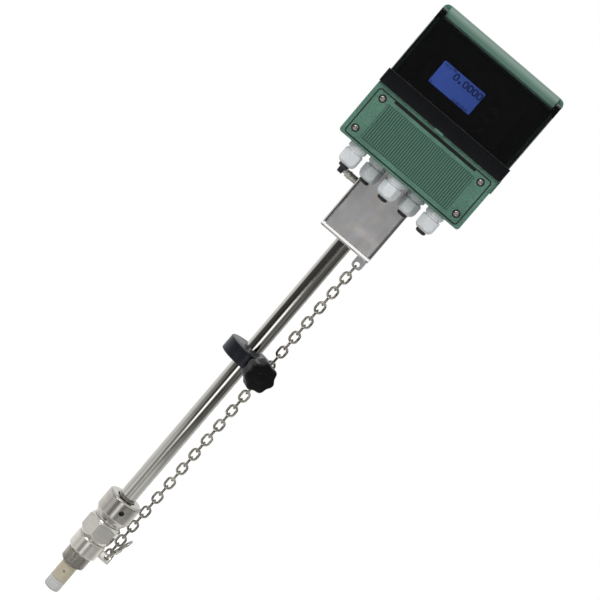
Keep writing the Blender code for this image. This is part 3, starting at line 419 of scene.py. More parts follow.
def carved(obj, *forms):
    """Cuts closed forms out of a piece with an exact Boolean, which is applied."""
    tools = [shaped(f"cut_{index}", form) for index, form in enumerate(forms)]
    for tool in tools:
        modifier = obj.modifiers.new("Cut", "BOOLEAN")
        modifier.object = tool
        modifier.solver = "EXACT"
    mesh = bpy.data.meshes.new_from_object(obj.evaluated_get(bpy.context.evaluated_depsgraph_get()))
    obj.modifiers.clear()
    whole, obj.data = obj.data, mesh
    bpy.data.meshes.remove(whole)
    for tool in tools:
        bpy.data.meshes.remove(tool.data)
    return obj


def dressed(obj, material, stands_for, sharp=32.0):
    """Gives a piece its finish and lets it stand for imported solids, on the body they ride on."""
    obj.data.materials.clear()
    obj.data.materials.append(material)
    obj.data.shade_smooth()
    obj.data.set_sharp_from_angle(angle=math.radians(sharp))
    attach(obj, body_of(frame["nodes"][stands_for[0]])[0])
    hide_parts(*stands_for)
    return obj


def piece(name, form, material, slot, node):
    """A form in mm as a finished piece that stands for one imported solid."""
    return dressed(shaped(name, form), material, [node])


def refinished(obj, materials, choose):
    """Adds finishes to a piece. choose(centre, normal), which takes two arrays of shape
    (3, faces), gives each face's finish: 0 for the piece's own, 1 for the first added."""
    found = []
    for key in ("center", "normal"):
        values = np.empty(3 * len(obj.data.polygons))
        obj.data.polygons.foreach_get(key, values)
        found.append(values.reshape(-1, 3).T)
    for material in materials:
        obj.data.materials.append(material)
    obj.data.polygons.foreach_set("material_index", choose(*found).astype(np.int32))


def softened(name, node, material, width=0.5):
    """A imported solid's copy with rounded edges: its triangles are merged to flat faces, and a
    bevel of the given width in mm runs along each edge that turns by more than 30 degrees."""
    mesh = frame["nodes"][node].data.copy()
    bm = bmesh.new()
    bm.from_mesh(mesh)
    bmesh.ops.remove_doubles(bm, verts=bm.verts, dist=0.005 * MM)
    bmesh.ops.dissolve_limit(bm, angle_limit=math.radians(1.0), verts=bm.verts, edges=bm.edges)
    bm.to_mesh(mesh)
    bm.free()
    obj = bpy.data.objects.new(name, mesh)
    bpy.context.scene.collection.objects.link(obj)
    bevel = obj.modifiers.new("Moulded edges", "BEVEL")
    bevel.width = width * MM
    bevel.segments = 2
    bevel.limit_method = "ANGLE"
    bevel.angle_limit = math.radians(30.0)
    flat = obj.modifiers.new("Flat faces", "WEIGHTED_NORMAL")
    flat.keep_sharp = True
    return dressed(obj, material, [node], 30.0)


# ---------------------------------------------------------------------------------------
# Materials
# ---------------------------------------------------------------------------------------


def cells(mm):
    """Scale of a texture whose cells are that many millimetres wide on Object coordinates."""
    return 1.0 / (mm * MM)


def add(tree, kind, inputs=None, **settings):
    """Adds a node. An input given as another node's output is linked, and any other is set."""
    made = tree.nodes.new(kind)
    for key, value in settings.items():
        setattr(made, key, value)
    for key, value in (inputs or {}).items():
        if isinstance(value, bpy.types.NodeSocket):
            tree.links.new(value, made.inputs[key])
        else:
            made.inputs[key].default_value = value
    return made


def started(name, constants):
    """A material with constants on its shader's own sockets: the material, its tree, its
    shader and its Object coordinates."""
    material = bpy.data.materials.new(name)
    material.use_nodes = True
    tree = material.node_tree
    shader = tree.nodes["Principled BSDF"]
    for key, value in constants.items():
        shader.inputs[key].default_value = value
    return material, tree, shader, add(tree, "ShaderNodeTexCoord").outputs["Object"]


def filled(ramp, stops):
    """Gives a colour ramp its (position, colour) stops; its colour output."""
    elements = ramp.color_ramp.elements
    for index, (position, colour) in enumerate(stops):
        stop = elements[index] if index < 2 else elements.new(0.999)
        stop.position, stop.color = position, colour
    return ramp.outputs["Color"]


def joined_to(tree, shader, colour=None, roughness=None, height=None, depth=0.02):
    """Links a colour, a roughness and a bump of that depth in mm to the shader."""
    if colour:
        tree.links.new(colour, shader.inputs["Base Color"])
    if roughness:
        tree.links.new(roughness, shader.inputs["Roughness"])
    if height:
        bump = add(tree, "ShaderNodeBump", {"Height": height, "Distance": depth * MM})
        tree.links.new(bump.outputs["Normal"], shader.inputs["Normal"])


def worked_steel(name, dark, light, rough, stretch, grain, depth):
    """Stainless steel whose tool or grinding marks run in one direction.

    The marks are noise squeezed by `stretch`, `grain` mm apart. They tint the metal between
    two greys and ripple it by `depth` mm, and patches about 20 mm wide change its gloss.
    """
    material, tree, shader, place = started(name, {"Metallic": 1.0})
    marks = add(tree, "ShaderNodeMapping", {"Vector": place, "Scale": stretch}).outputs["Vector"]
    lines = add(tree, "ShaderNodeTexNoise", {"Vector": marks, "Scale": cells(grain), "Detail": 3.0})
    patches = add(tree, "ShaderNodeTexNoise", {"Vector": place, "Scale": cells(20.0), "Detail": 2.0})
    blend = add(tree, "ShaderNodeMath", {0: lines.outputs["Fac"], 1: patches.outputs["Fac"]})
    half = add(tree, "ShaderNodeMath", {0: blend.outputs[0], 1: 0.5}, operation="MULTIPLY")
    tint = filled(add(tree, "ShaderNodeValToRGB", {"Fac": half.outputs[0]}),
                  ((0.34, linear(dark)), (0.66, linear(light))))
    gloss = add(tree, "ShaderNodeMapRange", {
        "Value": patches.outputs["Fac"], "From Min": 0.3, "From Max": 0.7,
        "To Min": rough * 0.8, "To Max": rough * 1.25})
    joined_to(tree, shader, tint, gloss.outputs["Result"], lines.outputs["Fac"], depth)
    return material


def moulded_plastic(name, dark, light, rough, grain, depth, constants=None):
    """A moulded plastic: a fine leather grain `grain` mm wide and `depth` mm deep, two close
    tones in patches about 30 mm wide, and pores where the grain is deepest a little duller."""
    material, tree, shader, place = started(name, {"IOR": 1.5, **(constants or {})})
    leather = add(tree, "ShaderNodeTexNoise", {"Vector": place, "Scale": cells(grain), "Detail": 2.0})
    patches = add(tree, "ShaderNodeTexNoise", {"Vector": place, "Scale": cells(30.0), "Detail": 3.0})
    blend = add(tree, "ShaderNodeMath", {0: leather.outputs["Fac"], 1: patches.outputs["Fac"]})
    half = add(tree, "ShaderNodeMath", {0: blend.outputs[0], 1: 0.5}, operation="MULTIPLY")
    tint = filled(add(tree, "ShaderNodeValToRGB", {"Fac": half.outputs[0]}), ((0.36, dark), (0.64, light)))
    gloss = add(tree, "ShaderNodeMapRange", {
        "Value": leather.outputs["Fac"], "From Min": 0.3, "From Max": 0.7,
        "To Min": min(1.0, rough * 1.15), "To Max": rough * 0.9})
    joined_to(tree, shader, tint, gloss.outputs["Result"], leather.outputs["Fac"], depth)
    return material


def paled(colour, share):
    """A linear colour mixed towards a pale grey (0.72) by that share, for painted highlights."""
    return tuple(value * (1 - share) + 0.72 * share for value in colour[:3]) + (colour[3],)


def toned(colour, share):
    """A linear colour made darker (share under 1) or lighter, with its alpha kept."""
    return tuple(min(1.0, value * share) for value in colour[:3]) + (colour[3],)


# ---------------------------------------------------------------------------------------
# Operators: the fitting at the pipe
# ---------------------------------------------------------------------------------------


def screwed(pitch, depth, low, high):
    """A shape for turned(): a thread with flat crests and roots, cut between two heights.

    With c = 1.5 cos(2 pi (h / pitch + a / 2 pi)) held between -1 and 1, the radius falls by
    depth * (1 - c) / 2, and the cut runs out over the first pitch below the upper end.
    """
    def cut(radius, angle, height):
        phase = FULL_TURN * height / pitch + angle
        fade = np.clip((high - height) / pitch, 0, 1) * (height > low - 1e-6)
        groove = depth * (1 - np.clip(1.5 * np.cos(phase), -1, 1)) / 2 * fade
        return np.where(radius > 14.0, radius - groove, radius)
    return cut


class FLOWMETER_OT_fitting(bpy.types.Operator):
    """Turned hexagon body with its process thread, and the welded eye plate for the chain"""
    bl_idname = "flowmeter.fitting"
    bl_label = "Process Fitting"

    def execute(self, context):
        shapes = context.scene.flowmeter_shapes
        # Hexagon bar turned on a lathe and left as cut: rings round Z that break up the light.
        steel = worked_steel(
            "Turned stainless steel, fitting", "#cdcac2", "#e0ddd5", 0.18, (0.05, 0.05, 1.0), 0.9, 0.003)
        outside = eased([
            (14.6, -19.9), (16.6, -17.9), (16.6, -0.4), (17.0, 0.0), (19.0, 0.0), (20.0, 1.0), (20.0, 20.2),
            (18.8, 21.4), (17.6, 21.4), (17.6, 22.8), (18.9, 22.8), (23.67, 29.8), (23.67, 46.0),
            (18.9, 50.5), (16.0, 50.5), (16.0, 71.5), (15.0, 72.5),
        ], 0.35, loop=False)
        inside = [(13.8, 72.5), (13.8, 22.0), (11.1, 22.0), (11.1, -19.9)]
        thread = screwed(shapes.thread_pitch, shapes.thread_depth, -19.9, -0.6)
        corner = 80.5
        flats = hexagon(41.0, corner)
        body = turned(np.vstack([dense(outside, 0.2), inside]), 192,
                      lambda r, a, h: np.where(h < 0, thread(r, a, h), flats(r, a, h)), start=corner)
        body = piece("fitting_turned_body", body, steel, "fitting_steel", "fitting_body")
        # Cutting oil has stayed on the thread: the same steel, darker and less even.
        oiled = worked_steel("Oiled stainless steel, thread", "#a8a59e", "#cbc8c1", 0.14, (1, 1, 1), 4.0, 0.001)
        refinished(body, [oiled], lambda centre, normal: centre[2] < -0.4 * MM)
        lug = carved(shaped("fitting_eye_plate", slab((10.0, 17.5, 0.5), (35.5, 21.5, 12.0), 1.2, 5)),
                     turned([(0, -5), (3.4, -5), (3.4, 5), (0, 5)], 40,
                            place=placed((29.0, 19.5, 7.3), (90, "X"))))
        dressed(lug, steel, ["fitting_body"])
        # The weld bead along the lug's root, where it meets the round body.
        t = np.linspace(0, 1, 40)[:, None]
        turn = np.arange(10) * FULL_TURN / 10
        size = 0.9 * np.sin(np.pi * np.clip(t, 0.02, 0.98)) ** 0.3 * (1 + 0.12 * np.sin(t * 60))
        bead = np.stack([
            18.9 - 0.02 * t + 0.6 * size * np.cos(turn), 17.5 - size * np.sin(turn) * 0.9 + 0 * t,
            1.4 + 9.8 * t + 0 * turn], axis=-1)
        bead = capped(bead, bead[0].mean(axis=0), bead[-1].mean(axis=0))
        piece("eye_plate_weld", skin(bead), steel, "fitting_steel", "fitting_body")
        return {"FINISHED"}


class FLOWMETER_OT_packing(bpy.types.Operator):
    """Packing nut with its pin-wrench hole, and the packing and follower under it"""
    bl_idname = "flowmeter.packing"
    bl_label = "Packing Nut"

    def execute(self, context):
        # Turned and then polished: a brighter steel than the fitting's, with finer rings.
        steel = worked_steel(
            "Polished stainless steel, nut", "#aeaba4", "#c8c5be", 0.15, (0.05, 0.05, 1.0), 0.7, 0.002)
        outside = eased([
            (16.3, 50.8), (18.9, 50.8), (18.9, 53.3), (23.5, 61.3), (23.5, 85.2), (21.5, 87.2), (13.5, 87.2),
        ], 0.5, loop=False)
        nut = turned(np.vstack([dense(outside, 0.8), [(12.5, 86.2), (12.5, 81.2), (16.3, 81.2)]]), 144)
        turn = 19.6
        angle = math.radians(turn)
        hole = placed((21.4 * math.sin(angle), -21.4 * math.cos(angle), 73.7), (turn, "Z"), (90, "X"))
        socket = turned([(0, -2.4), (3.3, -2.4), (3.3, 6), (0, 6)], 40, place=hole)
        dressed(carved(shaped("packing_nut_turned", nut), socket), steel, ["packing_nut"])
        # Painted shade: a black lining in the pin hole, which is only in shadow, with a dull shine.
        hole_shade = moulded_plastic("Painted shade in the pin hole", linear("#0c0b0a"), linear("#1b1917"), 0.35, 0.8, 0.1)
        floor = turned(eased([(0, -2.7), (3.36, -2.7), (3.36, 0.9), (2.7, -0.6), (0, -1.3)], 0.3), 40, place=hole)
        piece("pin_hole_painted_shade", floor, hole_shade, "nut_steel", "packing_nut")
        # Braided packing: dark, greasy and dull, with a coarse plait.
        braid = moulded_plastic("Braided packing, greased", linear("#1d1c1a"), linear("#2e2c28"), 0.6, 1.6, 0.3)
        for name, node, material, slot in (
                ("packing_rings", "packing_ring", braid, "packing"),
                ("packing_follower_turned", "packing_follower", steel, "nut_steel")):
            low, high = limits(node)
            profile = eased([(11.1, low[2]), (high[0], low[2]), (high[0], high[2]), (11.1, high[2])], 0.3)
            piece(name, turned(profile, 96), material, slot, node)
        return {"FINISHED"}


# ---------------------------------------------------------------------------------------
# Operators: the probe
# ---------------------------------------------------------------------------------------


class FLOWMETER_OT_rod(bpy.types.Operator):
    """Drawn and polished tube that slides through the packing"""
    bl_idname = "flowmeter.rod"
    bl_label = "Insertion Rod"

    def execute(self, context):
        # A cold-drawn tube polished lengthwise: long faint lines along Z, almost a mirror.
        steel = worked_steel(
            "Polished stainless tube, rod", "#bbb9b3", "#c9c7c1", 0.1, (1.0, 1.0, 0.012), 1.6, 0.0008)
        low, high = limits("insertion_rod")
        wall = eased([(8.5, low[2]), (11.0, low[2]), (11.0, high[2]), (8.5, high[2])], 0.4)
        piece("rod_tube", turned(wall, 160), steel, "rod_steel", "insertion_rod")
        return {"FINISHED"}


class FLOWMETER_OT_sensor(bpy.types.Operator):
    """Sensor body with its two electrodes and end cap"""
    bl_idname = "flowmeter.sensor"
    bl_label = "Sensor"

    def execute(self, context):
        # PEEK machined from rod: opaque tan, waxy gloss, faint turning rings and darker specks.
        peek = moulded_plastic("Machined PEEK, sensor", linear("#c0b79e"), linear("#d8d0b8"), 0.38, 0.8, 0.02,
                               {"Subsurface Weight": 0.08, "Subsurface Radius": (0.002, 0.0012, 0.0006)})
        low, high = limits("sensor_body")
        body = eased([
            (0, high[2]), (8.2, high[2]), (8.2, -12.3), (10.75, -12.3), (10.75, low[2]), (0, low[2])], 0.35)
        piece("sensor_turned_body", turned(body, 128), peek, "sensor_polymer", "sensor_body")
        # Acetal moulding: cool white, slightly see-through, half gloss.
        acetal = moulded_plastic("Moulded acetal, end cap", linear("#c6c7c5"), linear("#dcdcd9"), 0.33, 1.2, 0.01,
                                 {"Subsurface Weight": 0.15, "Subsurface Radius": (0.002, 0.002, 0.002)})
        low, high = limits("sensor_cap")
        face = low[2] + 15.5
        cap = eased([
            (0, high[2]), (8.0, high[2]), (8.0, face), (10.9, face), (10.9, face - 3.2), (10.5, face - 3.6),
            (10.5, face - 4.2), (10.9, face - 4.6), (10.9, low[2] + 3), (10.0, low[2] + 0.9),
            (7.9, low[2]), (0, low[2])], 0.5)
        piece("end_cap", turned(cap, 128), acetal, "cap_polymer", "sensor_cap")
        # Nickel alloy pins ground flush: a grey, slightly matt metal.
        alloy = worked_steel("Ground nickel alloy, electrode", "#8d8980", "#a9a59b", 0.34, (1, 1, 1), 0.3, 0.01)
        for side, node in ((-1, "electrode_front"), (1, "electrode_back")):
            pin = eased([(0, 6), (1.75, 6), (1.75, 11.0), (1.2, 11.25), (0, 11.25)], 0.2)
            place = placed((0, 0, -31.4), (-90 * side, "X"))
            piece(node + "_pin", turned(pin, 32, place=place), alloy, "electrode_metal", node)
        return {"FINISHED"}


class FLOWMETER_OT_collar(bpy.types.Operator):
    """Depth-stop collar and the star knob that clamps it"""
    bl_idname = "flowmeter.collar"
    bl_label = "Collar and Knob"

    def execute(self, context):
        shapes, colours = context.scene.flowmeter_shapes, context.scene.flowmeter_colours
        facing = placed((0, 0, 317.6), (29.0, "Z"), (90, "X"))
        # Black oxide on turned steel: near black, satin, with rings that just catch the light.
        oxide = worked_steel("Blackened steel, collar", "#2b2c31", "#3d3f46", 0.38, (0.04, 0.04, 1.0), 0.9, 0.01)
        wall = eased([(11.2, 307.7), (31.2, 307.7), (31.2, 327.5), (11.2, 327.5)], 1.4, 6)
        hole = turned([(0, 5), (4.3, 5), (4.3, 40), (0, 40)], 48, place=facing)
        dressed(carved(shaped("collar_turned", turned(wall, 160)), hole), oxide, ["collar_ring"])
        # Compression-moulded phenolic: deep black with a polish that dulls between the lobes.
        phenolic = moulded_plastic("Moulded phenolic, knob", colours.knob, toned(colours.knob, 1.4), 0.26, 2.5, 0.006,
                                   {"Specular IOR Level": 0.18})
        turn = np.linspace(0, FULL_TURN, 168, endpoint=False)
        reach = 19.1 + shapes.knob_lobe * np.cos(shapes.knob_lobes * turn)
        outline = np.stack([reach * np.cos(turn), reach * np.sin(turn)], axis=-1)
        star = plate(outline, 42.5, 60.5, 2.6, facing, 8)
        stem = turned(eased([
            (0, 46), (11.5, 46), (11.5, 42.0), (9.5, 37.5), (9.5, 31.5), (4.0, 31.5), (4.0, 12.1),
            (3.2, 11.3), (0, 11.3)], 0.6), 64, place=facing)
        # The round cap pressed into the middle of the knob's face.
        button = turned(eased([(0, 60.9), (7.2, 60.9), (7.6, 60.3), (7.6, 58.0), (0, 58.0)], 0.3), 64, place=facing)
        piece("star_knob_moulding", joined(star, stem, button), phenolic, "knob_plastic", "star_knob")
        return {"FINISHED"}


class FLOWMETER_OT_chain(bpy.types.Operator):
    """Welded safety chain in its sliding groups, with the end link and the quick link"""
    bl_idname = "flowmeter.chain"
    bl_label = "Safety Chain"

    def execute(self, context):
        shapes = context.scene.flowmeter_shapes
        wire = shapes.wire
        # Bright zinc on bent wire, handled: warm grey glints, and greys from dark to light in random lines and patches.
        zinc = worked_steel("Zinc-plated wire, chain", "#77736b", "#c0bcb2", 0.11, (1, 1, 1), 1.8, 0.04)
        chain_x, chain_y, length, half_width = 28.6, 25.5, 17.663, 6.45
        bend = half_width - wire
        link, faces = ring_of_wire(length - 2 * (bend + wire), bend, wire, shapes.weld_swell)
        for group in range(1, 14):
            node = f"chain_group_{group:02d}"
            low, high = limits(node)
            ends = high[2] - length / 2, low[2] + length / 2
            links = []
            for number, z in enumerate((ends[0], (ends[0] + ends[1]) / 2, ends[1])):
                # Every second link of the whole chain faces the front, and the others the sides.
                turn = 0 if (3 * (group - 1) + number) % 2 else 90
                links.append((moved(link, placed((chain_x, chain_y, z), (turn, "Z"))), faces))
            piece(f"chain_links_{group:02d}", joined(*links), zinc, "chain_steel", node)
        low, high = limits("end_link")
        end = moved(link, placed((chain_x, chain_y, (low[2] + high[2]) / 2))), faces
        piece("chain_end_link", end, zinc, "chain_steel", "end_link")
        # Electropolished stainless: the brightest metal on the meter.
        bright = worked_steel("Electropolished steel, quick link", "#b5b3ad", "#d3d1cb", 0.13, (1, 1, 1), 2.0, 0.01)
        place = placed((29.1, 22.2, 6.5), (17, "Y"), (90, "Z")) @ placed((0, 0, 19))
        loop = ring_of_wire(22, 8, 1.65, count=72, sides=20)
        sleeve = turned(eased([(1.5, -4.5), (3.4, -4.5), (3.4, 4.5), (1.5, 4.5)], 0.5), 48, hexagon(6.0, 0.0),
                        place @ placed((-8, 0, 0)))
        piece("quick_link_bent", joined((moved(loop[0], place), loop[1]), sleeve), bright, "chain_steel", "quick_link")
        return {"FINISHED"}


class FLOWMETER_OT_neck(bpy.types.Operator):
    """Folded sheet-steel box between the rod and the head, its base plate and the side port"""
    bl_idname = "flowmeter.neck"
    bl_label = "Neck"

    def execute(self, context):
        # Cold-rolled sheet as it comes from the mill: dull, with warm and cool clouds.
        sheet = worked_steel(
            "Cold-rolled stainless sheet, neck", "#a39f9b", "#b3b4b7", 0.34, (1.0, 1.0, 0.5), 9.0, 0.001)
        box = softened("neck_folded_box", "neck_box", sheet, 0.4)
        # The press brake burnished its upright bends: the same sheet with a tight, bright skin.
        bends = worked_steel(
            "Burnished stainless sheet, bends", "#b3b1ae", "#c3c2c0", 0.12, (1.0, 1.0, 0.05), 1.2, 0.001)
        refinished(box, [bends], lambda centre, normal: (
            (np.abs(centre[0]) > 31.8 * MM) & (np.abs(normal[1]) < 0.98) & (np.abs(normal[2]) < 0.5)))
        softened("neck_base_plate", "neck_base", sheet, 0.4)
        # The joint round the plate's edge was fused and then polished to a mirror.
        bright = worked_steel(
            "Polished weld, neck base", "#f6f5f3", "#fbfaf9", 0.16, (1.0, 1.0, 1.0), 3.0, 0.12)
        seam = eased([(0.3, 506.8), (1.1, 506.1), (-0.7, 501.1), (-1.4, 500.8), (-1.8, 501.2), (-1.8, 506.8)], 0.5)
        points, faces = beading((-36.7, -33.0), (36.7, 33.0), 5.0, seam, 9)
        bead = moved(points, placed((0, 0, 0), (90, "X"))), faces
        piece("neck_base_weld", bead, bright, "neck_steel", "neck_base")
        steel = worked_steel("Turned stainless steel, port", "#adaaa3", "#c9c6be", 0.36, (1, 1, 1), 0.5, 0.01)
        out = placed((0, 0, 564.2), (-90, "Y"))
        port = eased([
            (0, 61.6), (3.0, 61.6), (3.0, 53.0), (4.7, 53.0), (4.7, 49.0), (5.3, 49.0), (5.3, 46.5), (4.7, 46.5),
            (4.7, 37.0), (3.5, 37.0), (3.5, 28.4), (0, 28.4)], 0.3)
        piece("side_port_turned", turned(port, 64, place=out), steel, "screw_steel", "side_port")
        cap = eased([(0, 63.6), (4.2, 63.6), (5.35, 62.6), (5.35, 56.4), (3.3, 56.4), (3.3, 61.9), (0, 61.9)], 0.4)
        # Moulded EPDM: charcoal, matt, with a bloom in the grain.
        rubber = moulded_plastic("Moulded EPDM, port cap", linear("#191a1a"), linear("#262727"), 0.6, 0.9, 0.03)
        piece("port_cap_moulded", turned(cap, 64, place=out), rubber, "seal_rubber", "port_cap")
        return {"FINISHED"}


# ---------------------------------------------------------------------------------------
# Operators: the head
# ---------------------------------------------------------------------------------------


class FLOWMETER_OT_housing(bpy.types.Operator):
    """Moulded green housing with its screwed terminal cover and what is inside"""
    bl_idname = "flowmeter.housing"
    bl_label = "Housing"

    def execute(self, context):
        shapes, green = context.scene.flowmeter_shapes, context.scene.flowmeter_colours.housing
        # Glass-filled polyester from a spark-eroded mould: dusty green, satin, with a leather
        # grain that glitters under a low light. It is about 1 mm wide on the real one and
        # drawn 2.4 mm wide, so that it shows in a picture of the whole meter.
        polyester = moulded_plastic(
            "Moulded polyester, housing", toned(green, 0.76), toned(green, 1.3), 0.28, 2.4, 0.9)
        housing = softened("housing_moulding", "rear_housing", polyester, shapes.edge)
        # Painted highlights on the hinge bar: its green mixed paler where it curves over, and along its lower edge.
        hinge_bar_highlights, tree, shader, place = started("Moulded polyester, hinge bar", {"IOR": 1.5, "Roughness": 0.3})
        up = add(tree, "ShaderNodeMapRange", {
            "Value": add(tree, "ShaderNodeSeparateXYZ", {"Vector": place}).outputs["Z"],
            "From Min": 775.5 * MM, "From Max": 792.5 * MM})
        highlight_bands = (
            (0.0, 0.12), (0.08, 0.2), (0.18, 0.03), (0.46, 0.03), (0.6, 0.15), (0.76, 0.22), (0.9, 0.13), (1.0, 0.2))
        bands = filled(add(tree, "ShaderNodeValToRGB", {"Fac": up.outputs[0]}),
                       [(height, paled(green, share)) for height, share in highlight_bands])
        grain = add(tree, "ShaderNodeTexNoise", {"Vector": place, "Scale": cells(2.4), "Detail": 2.0})
        joined_to(tree, shader, bands, height=grain.outputs["Fac"], depth=0.05)
        refinished(housing, [hinge_bar_highlights], lambda centre, normal: (
            (centre[1] < -77.9 * MM) & (centre[2] > 775.9 * MM)
            | (centre[1] < -74.0 * MM) & (centre[2] > 786.1 * MM)))
        softened("terminal_cover_moulding", "terminal_cover", polyester, 0.25)
        # The ribs' own finish: the same moulding, with painted shade that darkens the grooves.
        ribbed, tree, shader, place = started("Moulded polyester, ribs", {"IOR": 1.5, "Roughness": 0.42})
        depth = add(tree, "ShaderNodeMapRange", {
            "Value": add(tree, "ShaderNodeSeparateXYZ", {"Vector": place}).outputs["Y"],
            "From Min": -87.3 * MM, "From Max": -86.7 * MM})
        speckle = add(tree, "ShaderNodeTexNoise", {"Vector": place, "Scale": cells(2.4), "Detail": 2.0})
        crest = add(tree, "ShaderNodeMix", {
            "Factor": speckle.outputs["Fac"], "A": toned(green, 0.92), "B": toned(green, 1.28)}, data_type="RGBA")
        # Painted shade: the colour falls to half the green towards the groove roots.
        groove_shade = add(tree, "ShaderNodeMix", {
            "Factor": depth.outputs[0], "A": crest.outputs["Result"], "B": toned(green, 0.5)}, data_type="RGBA")
        joined_to(tree, shader, groove_shade.outputs["Result"], height=speckle.outputs["Fac"], depth=0.12)
        # The field covers the solid's own coarse ribs, which have the same pitch.
        ribs = rib_field(64.5, 612.3, 661.9, 3.0, -86.0, 0.52, 1.4)
        piece("terminal_cover_ribs", ribs, ribbed, "housing_green", "terminal_cover")
        # Foam gasket round the cover: black and open-celled. The black strip under its pry notch is painted shade, a
        # dark sheet where the notch is only in shadow.
        foam_and_painted_shade = moulded_plastic("Foamed neoprene, gasket and painted shade", linear("#0c0e0e"), linear("#171a19"), 0.8, 0.6, 0.1)
        cord = eased([(-0.25, -86.15), (1.25, -86.15), (1.25, -85.7), (0.9, -82.5), (0.1, -82.5), (-0.25, -85.7)], 0.1)
        gasket = joined(beading((-83.1, 606.4), (83.1, 669.4), 3.0, cord),
                        slab((-60.3, -85.15, 666.6), (60.3, -84.7, 669.3), 0.1))
        piece("terminal_cover_gasket_and_notch_shade", gasket, foam_and_painted_shade, "seal_rubber", "terminal_cover")
        steel = worked_steel("Pressed stainless steel, screws", "#8f8b86", "#b0aca6", 0.3, (1, 1, 1), 0.5, 0.01)
        for index in range(1, 5):
            node = f"terminal_screw_{index}"
            low, high = limits(node)
            middle = (low + high) / 2
            place = placed((middle[0], low[1], middle[2]), (90, "X"), (23 + 31 * index, "Z"))
            depth = low[1] - high[1]
            screw = eased([
                (0, 0.0), (2.3, -0.05), (3.4, -0.7), (3.4, -2.0), (2.1, -2.0), (2.1, depth), (0, depth)], 0.35)
            slots = [slab((-2.3, -0.5, -1.6), (2.3, 0.5, 1.0), 0.1), slab((-0.5, -2.3, -1.6), (0.5, 2.3, 1.0), 0.1)]
            head = carved(shaped(f"cover_screw_{index}", turned(screw, 64, place=place)),
                          *[(moved(points, place), faces) for points, faces in slots])
            dressed(head, steel, [node])
            # Painted shade: a black foam ring in the sink round the screw head, where the sink is only in shadow.
            sink_shade = turned(eased([(3.45, -1.6), (3.45, -0.5), (5.1, -0.2), (5.1, -1.6)], 0.2), 48, place=place)
            piece(f"cover_screw_sink_shade_{index}", sink_shade, foam_and_painted_shade, "seal_rubber", node)
        low, high = limits("hinge_pin")
        across = placed((0, (low[1] + high[1]) / 2, (low[2] + high[2]) / 2), (90, "Y"))
        pin = eased([(0, low[0]), (1.5, low[0]), (1.5, high[0]), (0, high[0])], 0.3)
        dark = worked_steel("Blackened steel, hinge pin", "#1c1d20", "#2b2c30", 0.4, (1, 1, 1), 0.6, 0.005)
        piece("hinge_pin_drawn", turned(pin, 32, place=across), dark, "screw_steel", "hinge_pin")
        # Polyamide terminal strip: even grey with a slight sheen.
        polyamide = moulded_plastic(
            "Moulded polyamide, terminals", linear("#5f6b78"), linear("#6d7a87"), 0.45, 1.0, 0.02)
        softened("terminal_strip", "terminal_block", polyamide, 0.4)
        # Glass-epoxy laminate under green solder resist: glossy over a woven ground.
        laminate = moulded_plastic(
            "Solder-masked laminate, board", linear("#0f3d22"), linear("#175030"), 0.3, 0.8, 0.02)
        softened("electronics_board", "main_board", laminate, 0.1)
        return {"FINISHED"}


FONT = {  # Rows of a 5 x 7 dot letter from the top, each row's dots as the bits of a number
    "0": (14, 17, 17, 17, 17, 17, 14), "1": (4, 12, 4, 4, 4, 4, 14), "2": (14, 17, 1, 6, 8, 16, 31),
    "3": (14, 17, 1, 6, 1, 17, 14), "4": (2, 6, 10, 18, 31, 2, 2), "5": (31, 16, 30, 1, 1, 17, 14),
    "6": (6, 8, 16, 30, 17, 17, 14), "7": (31, 1, 2, 4, 8, 8, 8), "8": (14, 17, 17, 14, 17, 17, 14),
    "9": (14, 17, 17, 15, 1, 2, 12), ".": (0, 0, 0, 0, 0, 12, 12), "-": (0, 0, 0, 31, 0, 0, 0),
}


def dots(words, left, top, pitch, front):
    """Closed square dots, 0.08 mm proud, for words in the dot letters.

    Dot (row, column) of the letter number n lies at left + (6 n + column) pitch across and
    top - row pitch up; a dot is 1.3 times the pitch wide, so that the strokes run together.
    """
    bits = np.array([[[row >> (4 - column) & 1 for column in range(5)] for row in FONT[letter]]
                     for letter in words])
    letter, row, column = np.nonzero(bits)
    x, z = left + (6 * letter + column) * pitch[0], top - row * pitch[1]
    points, faces = slab((0, 0, 0), (1.3 * pitch[0], 0.08, 1.3 * pitch[1]), 0.01, 2)
    offset = np.stack([x, np.full(len(x), front - 0.06), z - pitch[1]], axis=-1)
    starts = np.arange(len(x))[:, None, None] * len(points)
    return (points[None] + offset[:, None]).reshape(-1, 3), (faces[None] + starts).reshape(-1, 4)


